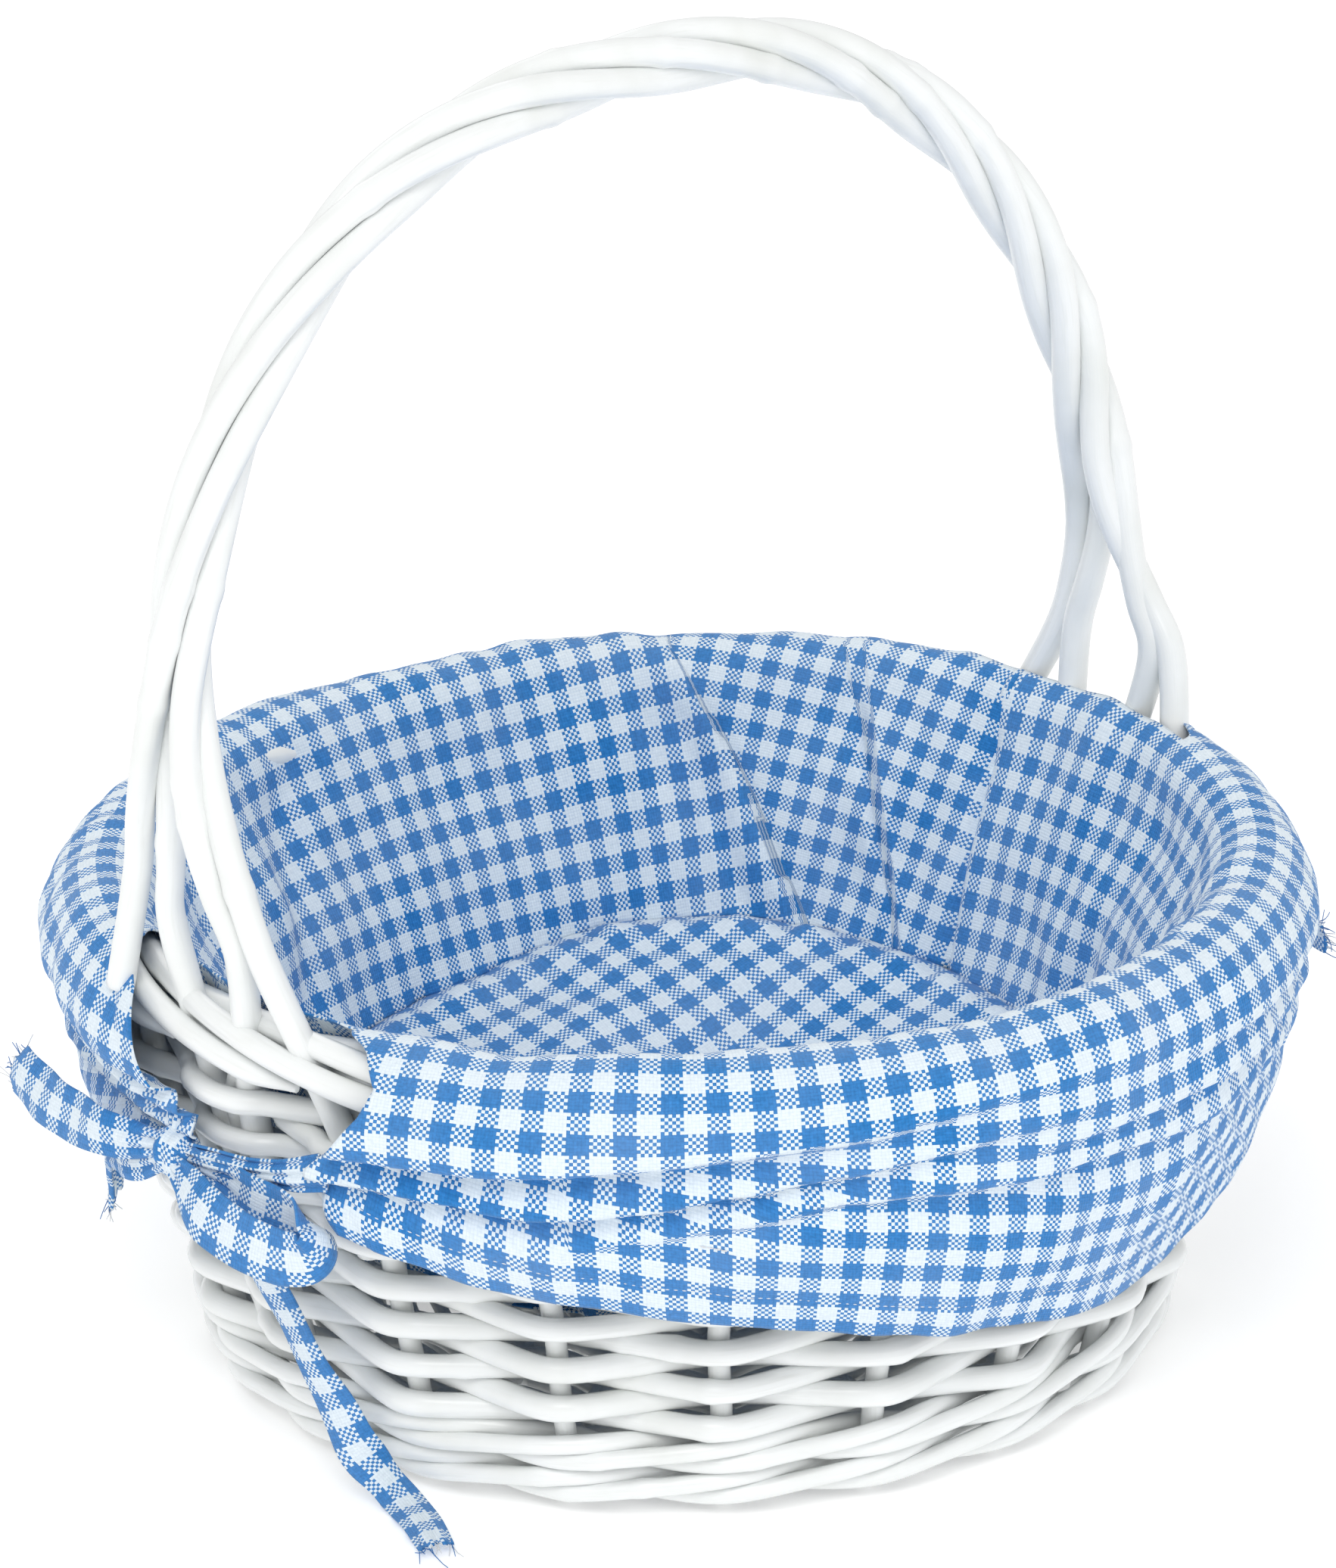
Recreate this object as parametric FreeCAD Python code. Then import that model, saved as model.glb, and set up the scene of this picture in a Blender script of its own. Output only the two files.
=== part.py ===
"""Round wicker picnic basket with a twisted hoop handle and a tied cloth liner.

Millimetres. The origin is the centre of the base on the ground plane, +Z is up, and the
handle's hoop runs along X. The basket stands on the flush-cut feet of its stakes.
"""
import FreeCAD, Part
import math
import os

from FreeCAD import Vector

# Wall: stakes lean outward on a cone, the weavers go round them.
STAKE_COUNT = 20
STAKE_D = 5.3
STAKE_CIRCLE_R = 119.0          # radius of the stake circle on the ground
STAKE_LEAN = 0.25               # radius gained per millimetre of height
PIECE_GAP = 0.05                # clearance left between rods that touch

# Waling round the foot, then plain randing up the wall.
WALE_D = 4.6
WALE_PITCH = 4.8
WALE_FIRST_Z = 5.4
WALE_ROUNDS = 2
WALE_RODS = 3
RAND_D = 5.9
RAND_PITCH = 6.1
RAND_FIRST_Z = 26.0
RAND_ROWS = 14
BEND_R = 14.0                   # inside curve of a weaver where it bends round a stake

# Rolled border: every stake turns over and winds round the rim.
RIM_R = 148.0
RIM_Z = 121.0
BORDER_WIND_R = 6.4
BORDER_D = 6.2
BORDER_SPAN_DEG = 75.0          # how far round the rim one border rod runs
BORDER_TURN_DEG = 300.0         # how far it winds round the ring meanwhile
BORDER_STEPS = 9

# Base.
BASE_STICK_D = 5.0
BASE_Z = 10.5
BASE_STICK_END_R = 112.0
BASE_FAN_START_R = 26.0
BASE_SPOKES = 16
BASE_WEAVE_D = 3.8
BASE_WEAVE_FIRST_R = 34.0
BASE_WEAVE_LAST_R = 110.0
BASE_WEAVE_PITCH = 7.6

# Handle: four rods twisted into one hoop, splayed at the feet.
HANDLE_ROD_D = 7.0
HANDLE_FOOT_X = 148.2
HANDLE_FOOT_Z = 120.8
HANDLE_RISE = 215.7
HANDLE_POWER = 2.52             # 2 would be an ellipse, more is squarer
HANDLE_BULGE = 11.0
HANDLE_LEAN = 14.0
HANDLE_TWIST_R = HANDLE_ROD_D / 2.0 * math.sqrt(2.0) + PIECE_GAP
HANDLE_TWIST_RATE = 1.310       # degrees per millimetre at the left foot
HANDLE_TWIST_GAIN = 0.0014      # how much faster it twists with each millimetre along
HANDLE_SPLAY = 100.0
HANDLE_STEPS = 34
HANDLE_TAIL_Z = (98.0, 66.0)    # points of a rod's tail inside the wall
TAIL_OFFSET = (STAKE_D + HANDLE_ROD_D) / 2.0 + PIECE_GAP
LEFT_FOOT_Y = (34.0, 17.0, -34.0, -24.0)
RIGHT_FOOT_Y = (22.0, -36.0, -28.0, 13.0)
TWIST_PHASE_DEG = (218.0, 128.0, 38.0, -52.0)
# A tail's stake, counted from the middle of its foot, and the side of the stake it lies on.
LEFT_TAILS = (None, (0, 1), (-1, 1), (0, -1))
RIGHT_TAILS = ((1, -1), (-1, 1), (0, -1), (0, 1))
OUTSIDE_END = Vector(-160.0, 34.5, 127.0)   # first rod's cut end, outside the border

# Cloth liner.
CLOTH = 1.6
LINER_FLOOR_R = 109.0
LINER_FLOOR_Z = 50.0
LINER_BOTTOM = (111.0, 52.0)
LINER_TOP = (134.5, 113.0)
LINER_RIM_R = 11.6              # inside radius of the fold over the border
SKIRT_PROFILE = ((160.5, 90.0), (151.0, 60.0), (145.0, 42.0), (140.0, 26.0))
LINER_SECTOR_DEG = 179.0
FLAP_SECTOR_DEG = 150.0
FLAP_SHIFT_DEG = 8.0            # each flap reaches further towards the bow it is knotted at
HEM_HEIGHT = 47.0               # hem height on the middle of a flap
HEM_SLOPE = 0.2                 # the hem climbs this much per millimetre towards the bow

# Ribbons.
RIBBON_W = 10.0
RIBBON_T = 0.8
KNOT_R = 7.0
KNOT = Vector(-158.0, 10.0, 88.0)
TIE_FRONT = (
    (-150.0, -52.0, 92.0), (-157.5, -30.0, 90.0), (-161.0, -8.0, 89.0), (-161.5, 3.0, 88.0))
TIE_FRONT_TAIL = (
    (-161.5, 2.0, 84.0), (-157.0, -14.0, 66.0), (-151.5, -22.0, 46.0),
    (-144.0, -30.0, 22.0), (-138.0, -38.0, 5.0), (-138.0, -50.0, 0.9), (-141.0, -70.0, 0.9))
TIE_BACK = ((-160.0, 3.0, 110.0), (-162.5, 4.0, 104.0), (-163.5, 6.0, 97.0), (-162.0, 9.0, 93.0))
TIE_BACK_TAIL = (
    (-162.5, 15.0, 84.0), (-165.0, 32.0, 84.5), (-163.0, 55.0, 88.0), (-157.0, 78.0, 86.0))
TIE_LOOP = (
    (-164.0, 8.0, 89.0), (-163.5, -14.0, 84.0), (-159.0, -36.0, 78.0), (-154.0, -46.0, 70.0),
    (-155.5, -42.0, 60.0), (-160.0, -26.0, 64.0), (-165.0, -8.0, 74.0), (-167.5, 3.0, 81.0))
TIE_SHORT = ((-160.5, 17.5, 82.0), (-157.0, 36.0, 72.0), (-150.0, 56.0, 62.0), (-147.0, 60.0, 48.0))


def stake_radius(z):
    """Radius of the stake circle at height z."""
    return STAKE_CIRCLE_R + STAKE_LEAN * z


def polar(radius, degrees, z):
    """Point at a radius and an angle round the basket."""
    angle = math.radians(degrees)
    return Vector(radius * math.cos(angle), radius * math.sin(angle), z)


def rounded_path(points, radius=None):
    """Wire of straight runs joined by tangent arcs; with no radius, each arc is as large as fits."""
    edges = []
    start = points[0]
    for before, corner, after in zip(points, points[1:], points[2:]):
        into = (corner - before).normalize()
        out = (after - corner).normalize()
        turn = into.getAngle(out)
        if turn < 1e-3:
            continue
        half = math.tan(turn / 2.0)
        largest = 0.45 * min((corner - before).Length, (after - corner).Length) / half
        arc_r = largest if radius is None else min(radius, largest)
        cut = arc_r * half
        first = corner - into * cut
        last = corner + out * cut
        centre_way = (out - into).normalize()
        centre = corner + centre_way * (arc_r / math.cos(turn / 2.0))
        middle = centre - centre_way * arc_r
        edges.append(Part.LineSegment(start, first).toShape())
        edges.append(Part.Arc(first, middle, last).toShape())
        start = last
    edges.append(Part.LineSegment(start, points[-1]).toShape())
    return Part.Wire(edges)


def rod(points, diameter, radius=None):
    """Round rod swept along a rounded path."""
    path = rounded_path(points, radius)
    way = (points[1] - points[0]).normalize()
    section = Part.Wire(Part.Circle(points[0], way, diameter / 2.0).toShape())
    solid = path.makePipeShell([section], True, False)
    ideal = math.pi * (diameter / 2.0) ** 2 * path.Length
    if abs(solid.Volume / ideal - 1.0) > 0.01 or not solid.isValid():
        print("rod volume is off by", round(solid.Volume / ideal - 1.0, 4), solid.isValid())
    return solid


def save(name, shape):
    """Write one sub-part."""
    shape.exportStep("parts/" + name + ".step")


def stake(index):
    """Upright with a flush-cut foot that turns into its border rod at the top."""
    angle = 360.0 / STAKE_COUNT * index
    below = -6.0
    points = [polar(stake_radius(below), angle, below)]
    points.append(polar(stake_radius(RIM_Z - 32.0), angle, RIM_Z - 32.0))
    for step in range(BORDER_STEPS + 1):
        share = step / BORDER_STEPS
        wind = math.radians(270.0 - BORDER_TURN_DEG * share)
        radius = RIM_R + BORDER_WIND_R * math.cos(wind)
        height = RIM_Z + BORDER_WIND_R * math.sin(wind)
        points.append(polar(radius, angle + BORDER_SPAN_DEG * share, height))
    whole = rod(points, STAKE_D)
    ground = Part.makeBox(400, 400, 20, Vector(-200, -200, -20))
    return whole.cut(ground)


def weaver_points(z_at, side_at, diameter, start_index, mid_points):
    """Corner points of a rod woven once round the stakes, from behind a stake back to it."""
    points = []
    pitch = 360.0 / STAKE_COUNT
    for count in range(STAKE_COUNT + 1):
        index = start_index + count
        side = side_at(index)
        z = z_at(index, 0.0)
        reach = (STAKE_D + diameter) / 2.0 + PIECE_GAP
        ends = (0.0,)
        beside = TAIL_SIDES.get(index % STAKE_COUNT, (0, 0)) if z > HANDLE_TAIL_Z[1] - 4.0 else (0, 0)
        if beside != (0, 0):
            reach = (HANDLE_ROD_D + diameter) / 2.0 + PIECE_GAP
            ends = (-TAIL_OFFSET * beside[0] - 1.0, TAIL_OFFSET * beside[1] + 1.0)
        sharp = 1.0 / math.cos(math.radians(23.0 if side > 0 else 5.0) / len(ends)) - 1.0
        radius = stake_radius(z) + side * (reach + BEND_R * sharp)
        for end in ends:
            degrees = pitch * index + math.degrees(end / radius)
            points.append(polar(radius, degrees, z))
        if mid_points and count < STAKE_COUNT:
            half_z = z_at(index, 0.5)
            half_r = stake_radius(half_z) + (side + side_at(index + 1)) / 2.0 * reach
            points.append(polar(half_r, pitch * (index + 0.5), half_z))
    # Both ends are cut short of the shared stake, so that they lie side by side behind it.
    points[0] = points[0] + (points[1] - points[0]) * 0.10
    points[-1] = points[-1] + (points[-2] - points[-1]) * 0.10
    return points


# Stakes with handle tails beside them: stake index to (tail on its low side, tail on its high side).
TAIL_SIDES = {0: (1, 1), 1: (1, 0), 10: (1, 1), 11: (1, 0), 19: (0, 1)}


def rand_row(row):
    """One row of randing: in front of one stake, behind the next."""
    height = RAND_FIRST_Z + RAND_PITCH * row
    behind_first = 1 - row % 2

    def side_at(index):
        return 1 if (index + row) % 2 else -1

    start = (row * 6 + behind_first + 5) % STAKE_COUNT
    if side_at(start) > 0:
        start += 1
    return rod(weaver_points(lambda index, part: height, side_at, RAND_D, start, False), RAND_D, BEND_R)


def wale_rod(round_index, rod_index):
    """One of the three rods of a round of waling: in front of two stakes, behind one."""
    low = WALE_FIRST_Z + 2.0 * WALE_PITCH * round_index
    heights = {0: low + WALE_PITCH / 2.0, 1: low, 2: low + WALE_PITCH}
    half_heights = {0: low, 1: low + WALE_PITCH / 2.0, 2: low + WALE_PITCH}
    start = rod_index

    def phase(index):
        return (index - start) % WALE_RODS

    def side_at(index):
        return -1 if phase(index) == 0 else 1

    def z_at(index, part):
        return half_heights[phase(index)] if part else heights[phase(index)]

    return rod(weaver_points(z_at, side_at, WALE_D, start, True), WALE_D, BEND_R)


def base_sticks(turned):
    """Four parallel sticks that fan out to a quarter of the spokes on each side."""
    sticks = []
    spoke_step = 360.0 / BASE_SPOKES
    lift = BASE_STICK_D / 2.0 + PIECE_GAP
    height = BASE_Z + (lift if turned else -lift)
    for number in range(4):
        across = (number - 1.5) * (BASE_STICK_D + PIECE_GAP)
        fan = (number - 1.5) * spoke_step
        turn = 90.0 if turned else 0.0
        inner = math.degrees(math.atan2(across, BASE_FAN_START_R))
        inner_r = math.hypot(across, BASE_FAN_START_R)
        points = [
            polar(BASE_STICK_END_R, turn + 180.0 - fan, BASE_Z),
            polar(inner_r, turn + 180.0 - inner, height),
            polar(inner_r, turn + inner, height),
            polar(BASE_STICK_END_R, turn + fan, BASE_Z),
        ]
        sticks.append(rod(points, BASE_STICK_D))
    return Part.makeCompound(sticks)


def base_weave():
    """Rings of weaving, over one spoke and under the next."""
    rings = []
    radius = BASE_WEAVE_FIRST_R
    ring = 0
    while radius <= BASE_WEAVE_LAST_R:
        points = []
        for spoke in range(BASE_SPOKES + 1):
            over = 1 if (spoke + ring) % 2 else -1
            reach = over * ((BASE_STICK_D + BASE_WEAVE_D) / 2.0 + 0.3)
            lift = (BASE_STICK_D / 2.0) * max(0.0, (60.0 - radius) / 60.0)
            way = 1.0 if (spoke + 2) % 8 >= 4 else -1.0
            points.append(polar(radius, 360.0 / BASE_SPOKES * (spoke + 0.5), BASE_Z + reach + lift * way))
        points[0] = points[0] + (points[1] - points[0]) * 0.2
        points[-1] = points[-1] + (points[-2] - points[-1]) * 0.2
        rings.append(rod(points, BASE_WEAVE_D, 7.0))
        radius += BASE_WEAVE_PITCH
        ring += 1
    return Part.makeCompound(rings)


def hoop_point(share):
    """Point of the handle's centre line, from the left foot at 0 to the right foot at 1."""
    angle = math.pi * share
    level = abs(math.sin(angle)) ** (2.0 / HANDLE_POWER)
    flat = abs(math.cos(angle)) ** (2.0 / HANDLE_POWER)
    side = -1.0 if math.cos(angle) > 0 else 1.0
    x = side * (HANDLE_FOOT_X * flat + HANDLE_BULGE * 4.0 * level * (1.0 - level))
    return Vector(x, HANDLE_LEAN * level, HANDLE_FOOT_Z + HANDLE_RISE * level)


def even_hoop():
    """Centre-line points evenly spaced along the hoop, with the distance of each from the left."""
    fine = [hoop_point(step / 4000.0) for step in range(4001)]
    travelled = [0.0]
    for before, after in zip(fine, fine[1:]):
        travelled.append(travelled[-1] + (after - before).Length)
    points = []
    place = 0
    for step in range(HANDLE_STEPS + 1):
        target = travelled[-1] * step / HANDLE_STEPS
        while travelled[place] < target - 1e-9 and place < 4000:
            place += 1
        points.append(fine[place])
    return points, travelled[-1]


def smooth(share):
    """Smooth step from 0 to 1."""
    share = min(1.0, max(0.0, share))
    return share * share * (3.0 - 2.0 * share)


def tail_point(foot_side, place, z):
    """Place of a tail beside its stake; place is (stake counted from the foot, side of it)."""
    centre = 0.0 if foot_side > 0 else 180.0
    radius = stake_radius(z)
    number, side = place
    degrees = 360.0 / STAKE_COUNT * number + math.degrees(side * TAIL_OFFSET / radius)
    degrees = centre + foot_side * degrees
    return polar(radius, degrees, z)


def handle_rod(number):
    """One of the four rods of the hoop, with its tails down beside the stakes."""
    centres, length = even_hoop()
    points = []
    for step, centre in enumerate(centres):
        along = length * step / HANDLE_STEPS
        before = centres[max(0, step - 1)]
        after = centres[min(HANDLE_STEPS, step + 1)]
        tangent = (after - before).normalize()
        outward = Vector(0, 1, 0).cross(tangent).normalize()
        if outward.z < 0 and abs(outward.z) > 0.2:
            outward = outward * -1.0
        if abs(outward.z) <= 0.2 and outward.x * centre.x < 0:
            outward = outward * -1.0
        turned = HANDLE_TWIST_RATE * along + HANDLE_TWIST_GAIN * along * along
        angle = math.radians(TWIST_PHASE_DEG[number] + turned)
        twist = outward * (math.cos(angle) * HANDLE_TWIST_R)
        twist = twist + Vector(0, -1, 0) * (math.sin(angle) * HANDLE_TWIST_R)
        left = smooth(1.0 - along / HANDLE_SPLAY)
        right = smooth(1.0 - (length - along) / HANDLE_SPLAY)
        splay = left * LEFT_FOOT_Y[number] + right * RIGHT_FOOT_Y[number]
        keep = 1.0 - left - right
        points.append(centre + twist * keep + Vector(0, splay, 0))
    if number == 0:
        points[0] = OUTSIDE_END
        points[1] = (points[0] + points[2]) * 0.5 + Vector(-1.0, 0, 0)
    else:
        tail = [tail_point(-1.0, LEFT_TAILS[number], z) for z in reversed(HANDLE_TAIL_Z)]
        points = tail + points
    points = points + [tail_point(1.0, RIGHT_TAILS[number], z) for z in HANDLE_TAIL_Z]
    return rod(points, HANDLE_ROD_D)


def thick_profile(line):
    """Closed face of a cloth's section: a line of (radius, height) points given a thickness."""
    normals = []
    for place in range(len(line)):
        before = line[max(0, place - 1)]
        after = line[min(len(line) - 1, place + 1)]
        run = math.hypot(after[0] - before[0], after[1] - before[1])
        normals.append(((before[1] - after[1]) / run, (after[0] - before[0]) / run))
    upper = [Vector(p[0] + n[0] * CLOTH, 0, p[1] + n[1] * CLOTH) for p, n in zip(line, normals)]
    lower = [Vector(p[0], 0, p[1]) for p in line]
    outline = lower + upper[::-1] + lower[:1]
    return Part.Face(Part.makePolygon(outline))


def turned_cloth(line, sector, middle):
    """A cloth section turned through a sector centred on an angle."""
    solid = thick_profile(line).revolve(Vector(0, 0, 0), Vector(0, 0, 1), sector)
    solid.rotate(Vector(0, 0, 0), Vector(0, 0, 1), middle - sector / 2.0)
    return solid


def liner_half(middle):
    """Half of the liner: the wall inside, the fold over the border and the flap outside."""
    wall = turned_cloth([LINER_BOTTOM, LINER_TOP], LINER_SECTOR_DEG, middle)
    fold = [LINER_TOP]
    for degrees in range(165, -16, -15):
        angle = math.radians(degrees)
        fold.append((RIM_R + LINER_RIM_R * math.cos(angle), RIM_Z + 2.0 + LINER_RIM_R * math.sin(angle)))
    flap = turned_cloth(fold + list(SKIRT_PROFILE), FLAP_SECTOR_DEG, middle + FLAP_SHIFT_DEG)
    below = Part.makePolygon([
        Vector(-300, -300, HEM_HEIGHT + 300 * HEM_SLOPE), Vector(300, -300, HEM_HEIGHT - 300 * HEM_SLOPE),
        Vector(300, -300, -200), Vector(-300, -300, -200),
        Vector(-300, -300, HEM_HEIGHT + 300 * HEM_SLOPE)])
    flap = flap.cut(Part.Face(below).extrude(Vector(0, 600, 0)))
    return wall.fuse(flap).removeSplitter()


def ribbon(places, lying_from=None):
    """Flat ribbon through a list of places, facing away from the basket's axis, or lying flat."""
    points = [Vector(*place) for place in places]
    corners = []
    for place, point in enumerate(points):
        run = (points[min(len(points) - 1, place + 1)] - points[max(0, place - 1)]).normalize()
        facing = Vector(point.x, point.y, 0).normalize()
        if lying_from is not None and place >= lying_from:
            facing = Vector(0, 0, 1)
        across = run.cross(facing).normalize()
        facing = across.cross(run).normalize()
        wide = across * (RIBBON_W / 2.0)
        thick = facing * (RIBBON_T / 2.0)
        corners.append([point - wide - thick, point + wide - thick, point + wide + thick, point - wide + thick])
    faces = []

    def triangle(a, b, c):
        faces.append(Part.Face(Part.makePolygon([a, b, c, a])))

    for first, second in zip(corners, corners[1:]):
        for side in range(4):
            other = (side + 1) % 4
            triangle(first[side], first[other], second[other])
            triangle(first[side], second[other], second[side])
    for end in (corners[0], corners[-1]):
        triangle(end[0], end[1], end[2])
        triangle(end[0], end[2], end[3])
    solid = Part.makeSolid(Part.makeShell(faces))
    if solid.Volume < 0:
        solid.reverse()
    return solid


def half_turn(shape):
    """The same piece at the other foot of the handle."""
    turned = shape.copy()
    turned.rotate(Vector(0, 0, 0), Vector(0, 0, 1), 180.0)
    return turned


def build():
    """Make every sub-part."""
    os.makedirs("parts", exist_ok=True)
    for index in range(STAKE_COUNT):
        save("stake_%02d" % (index + 1), stake(index))
    for round_index in range(WALE_ROUNDS):
        for rod_index in range(WALE_RODS):
            number = round_index * WALE_RODS + rod_index + 1
            save("wale_rod_%d" % number, wale_rod(round_index, rod_index))
    for row in range(RAND_ROWS):
        save("rand_row_%02d" % (row + 1), rand_row(row))
    save("base_sticks_lower", base_sticks(False))
    save("base_sticks_upper", base_sticks(True))
    save("base_weave", base_weave())
    for number in range(4):
        save("handle_rod_%d" % (number + 1), handle_rod(number))
    save("liner_floor", Part.makeCylinder(LINER_FLOOR_R, CLOTH, Vector(0, 0, LINER_FLOOR_Z)))
    save("liner_front", liner_half(-90.0))
    save("liner_back", liner_half(90.0))
    bow = {
        "tie_front": Part.makeCompound([ribbon(TIE_FRONT), ribbon(TIE_FRONT_TAIL, 5)]),
        "tie_back": Part.makeCompound([ribbon(TIE_BACK), ribbon(TIE_BACK_TAIL), ribbon(TIE_SHORT)]),
        "tie_loop": ribbon(TIE_LOOP),
        "tie_knot": Part.makeSphere(KNOT_R, KNOT),
    }
    for name, shape in bow.items():
        save("left_" + name, shape)
        save("right_" + name, half_turn(shape))


build()
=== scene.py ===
"""A round painted wicker picnic basket with a twisted hoop handle and a tied gingham liner.

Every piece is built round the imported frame, in metres. The handle's hoop runs along X, the
cloth's two flaps hang at -Y and +Y, and the basket stands on the ground plane.
"""

import logging
import math
from dataclasses import dataclass, field
from enum import Enum
from typing import Sequence

import bmesh
import bpy
import numpy as np
from mathutils import Matrix, Vector

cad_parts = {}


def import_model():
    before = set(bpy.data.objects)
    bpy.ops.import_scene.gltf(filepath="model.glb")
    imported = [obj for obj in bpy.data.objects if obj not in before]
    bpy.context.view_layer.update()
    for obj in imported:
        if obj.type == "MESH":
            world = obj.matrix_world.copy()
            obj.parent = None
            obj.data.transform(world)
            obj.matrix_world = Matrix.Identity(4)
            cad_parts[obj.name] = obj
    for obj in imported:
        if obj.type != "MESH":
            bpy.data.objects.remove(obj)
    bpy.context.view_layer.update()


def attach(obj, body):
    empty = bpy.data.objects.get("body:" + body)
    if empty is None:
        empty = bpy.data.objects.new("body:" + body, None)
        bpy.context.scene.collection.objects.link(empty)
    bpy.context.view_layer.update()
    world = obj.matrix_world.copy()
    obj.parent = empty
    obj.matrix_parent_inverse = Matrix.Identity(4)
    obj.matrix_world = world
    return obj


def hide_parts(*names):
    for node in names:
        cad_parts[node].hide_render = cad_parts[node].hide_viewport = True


LOG = logging.getLogger("basket")
MM = 0.001
Array = np.ndarray
Socket = bpy.types.NodeSocket
Colour = tuple[float, float, float, float]
Table = tuple[tuple[float, float], ...]


class Side(Enum):
    """The two ends of the handle, which are also the places of the two bows."""

    LEFT = -1.0
    RIGHT = 1.0


class Half(Enum):
    """The two halves of the liner, by the angle of the flap's middle in degrees."""

    FRONT = -90.0
    BACK = 90.0


# ---------------------------------------------------------------- curves and surfaces


def unit(vectors: Array) -> Array:
    """Vectors scaled to length one along the last axis."""
    return vectors / np.maximum(np.linalg.norm(vectors, axis=-1, keepdims=True), 1e-12)


def smooth_step(x: Array | float) -> Array:
    """Smooth step: 0 below 0, 1 above 1, and 3x^2 - 2x^3 between."""
    x = np.clip(x, 0.0, 1.0)
    return x * x * (3.0 - 2.0 * x)


def bell(x: Array | float, middle: Array | float, width: Array | float) -> Array:
    """Bell curve: exp(-((x - middle) / width)^2)."""
    return np.exp(-(((x - middle) / width) ** 2))


def polar(radius: Array | float, angle: Array | float, z: Array | float) -> Array:
    """Points at a radius, an angle in radians and a height, stacked on the last axis."""
    radius, angle, z = np.broadcast_arrays(radius, angle, z)
    return np.stack([radius * np.cos(angle), radius * np.sin(angle), z], axis=-1)


def curve_through(points: Sequence[Sequence[float]] | Array, count: int) -> Array:
    """Centripetal Catmull-Rom curve through a list of points, evenly spaced by length.

    Between two points the curve is the cubic whose end slopes come from their neighbours.

    Args:
        points: The places the curve passes through.
        count: How many points to return.

    Returns:
        An array of count points.
    """
    p = np.asarray(points, float)
    p = np.vstack([2 * p[0] - p[1], p, 2 * p[-1] - p[-2]])
    knots = np.concatenate([[0.0], np.cumsum(np.linalg.norm(np.diff(p, axis=0), axis=1) ** 0.5)])
    fine = np.linspace(knots[1], knots[-2], 12 * len(p))
    i = np.clip(np.searchsorted(knots, fine, side="right") - 1, 1, len(p) - 3)
    t0, t1, t2, t3 = (knots[i + k][:, None] for k in (-1, 0, 1, 2))
    p0, p1, p2, p3 = (p[i + k] for k in (-1, 0, 1, 2))
    t = fine[:, None]
    a1 = (t1 - t) / (t1 - t0) * p0 + (t - t0) / (t1 - t0) * p1
    a2 = (t2 - t) / (t2 - t1) * p1 + (t - t1) / (t2 - t1) * p2
    a3 = (t3 - t) / (t3 - t2) * p2 + (t - t2) / (t3 - t2) * p3
    b1 = (t2 - t) / (t2 - t0) * a1 + (t - t0) / (t2 - t0) * a2
    b2 = (t3 - t) / (t3 - t1) * a2 + (t - t1) / (t3 - t1) * a3
    return evenly((t2 - t) / (t2 - t1) * b1 + (t - t1) / (t2 - t1) * b2, count)


def evenly(line: Array, count: int) -> Array:
    """The same line with its points evenly spaced by length."""
    travelled = np.concatenate([[0.0], np.cumsum(np.linalg.norm(np.diff(line, axis=0), axis=1))])
    wanted = np.linspace(0.0, travelled[-1], count)
    return np.stack([np.interp(wanted, travelled, line[:, k]) for k in range(line.shape[1])], axis=1)


def line_length(line: Array) -> float:
    """Length of a line of points."""
    return float(np.linalg.norm(np.diff(line, axis=0), axis=1).sum())


def waves(x: Array, y: Array, seed: int, scale: float, count: int = 7) -> Array:
    """Gentle seeded unevenness: a sum of sines of random direction and phase, about -1 to 1.

    Args:
        x: First coordinate, in metres.
        y: Second coordinate, in metres.
        seed: Seed of the random directions.
        scale: Typical wavelength in metres.
        count: Number of sines.

    Returns:
        An array shaped like x.
    """
    rng = np.random.default_rng(seed)
    total = np.zeros(np.broadcast(x, y).shape)
    for _ in range(count):
        way = rng.uniform(0, 2 * math.pi)
        k = 2 * math.pi / (scale * rng.uniform(0.6, 1.7))
        total = total + np.sin(k * (x * math.cos(way) + y * math.sin(way)) + rng.uniform(0, 2 * math.pi))
    return total / math.sqrt(count)


def mesh_piece(
    name: str, points: Array, faces: Array, uv: Array | None = None, extra: dict[str, Array] | None = None
) -> bpy.types.Object:
    """Makes one smooth mesh object from whole arrays.

    Args:
        name: The piece's name.
        points: Vertex places, n by 3.
        faces: Vertex numbers of the quads, m by 4.
        uv: Vertex texture places in metres of cloth, n by 2.
        extra: Further values per vertex, by attribute name.

    Returns:
        The new object, linked to the scene.
    """
    mesh = bpy.data.meshes.new(name)
    mesh.from_pydata(points.tolist(), [], faces.tolist())
    mesh.polygons.foreach_set("use_smooth", np.ones(len(mesh.polygons), bool))
    if uv is not None:
        layer = mesh.uv_layers.new(name="cloth")
        loops = np.zeros(len(mesh.loops), np.int64)
        mesh.loops.foreach_get("vertex_index", loops)
        layer.data.foreach_set("uv", uv[loops].astype(np.float32).ravel())
    for key, values in (extra or {}).items():
        attribute = mesh.attributes.new(key, "FLOAT", "POINT")
        attribute.data.foreach_set("value", values.astype(np.float32).ravel())
    mesh.update()
    piece = bpy.data.objects.new(name, mesh)
    bpy.context.scene.collection.objects.link(piece)
    return piece


def grid_faces(rows: int, columns: int, around: bool = False) -> Array:
    """Quads of a grid of rows by columns vertices, the columns closed into a ring if around."""
    number = np.arange(rows * columns).reshape(rows, columns)
    right = np.roll(number, -1, axis=1) if around else number[:, 1:]
    here = number if around else number[:, :-1]
    return np.stack([here[:-1], right[:-1], right[1:], here[1:]], axis=-1).reshape(-1, 4)


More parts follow.
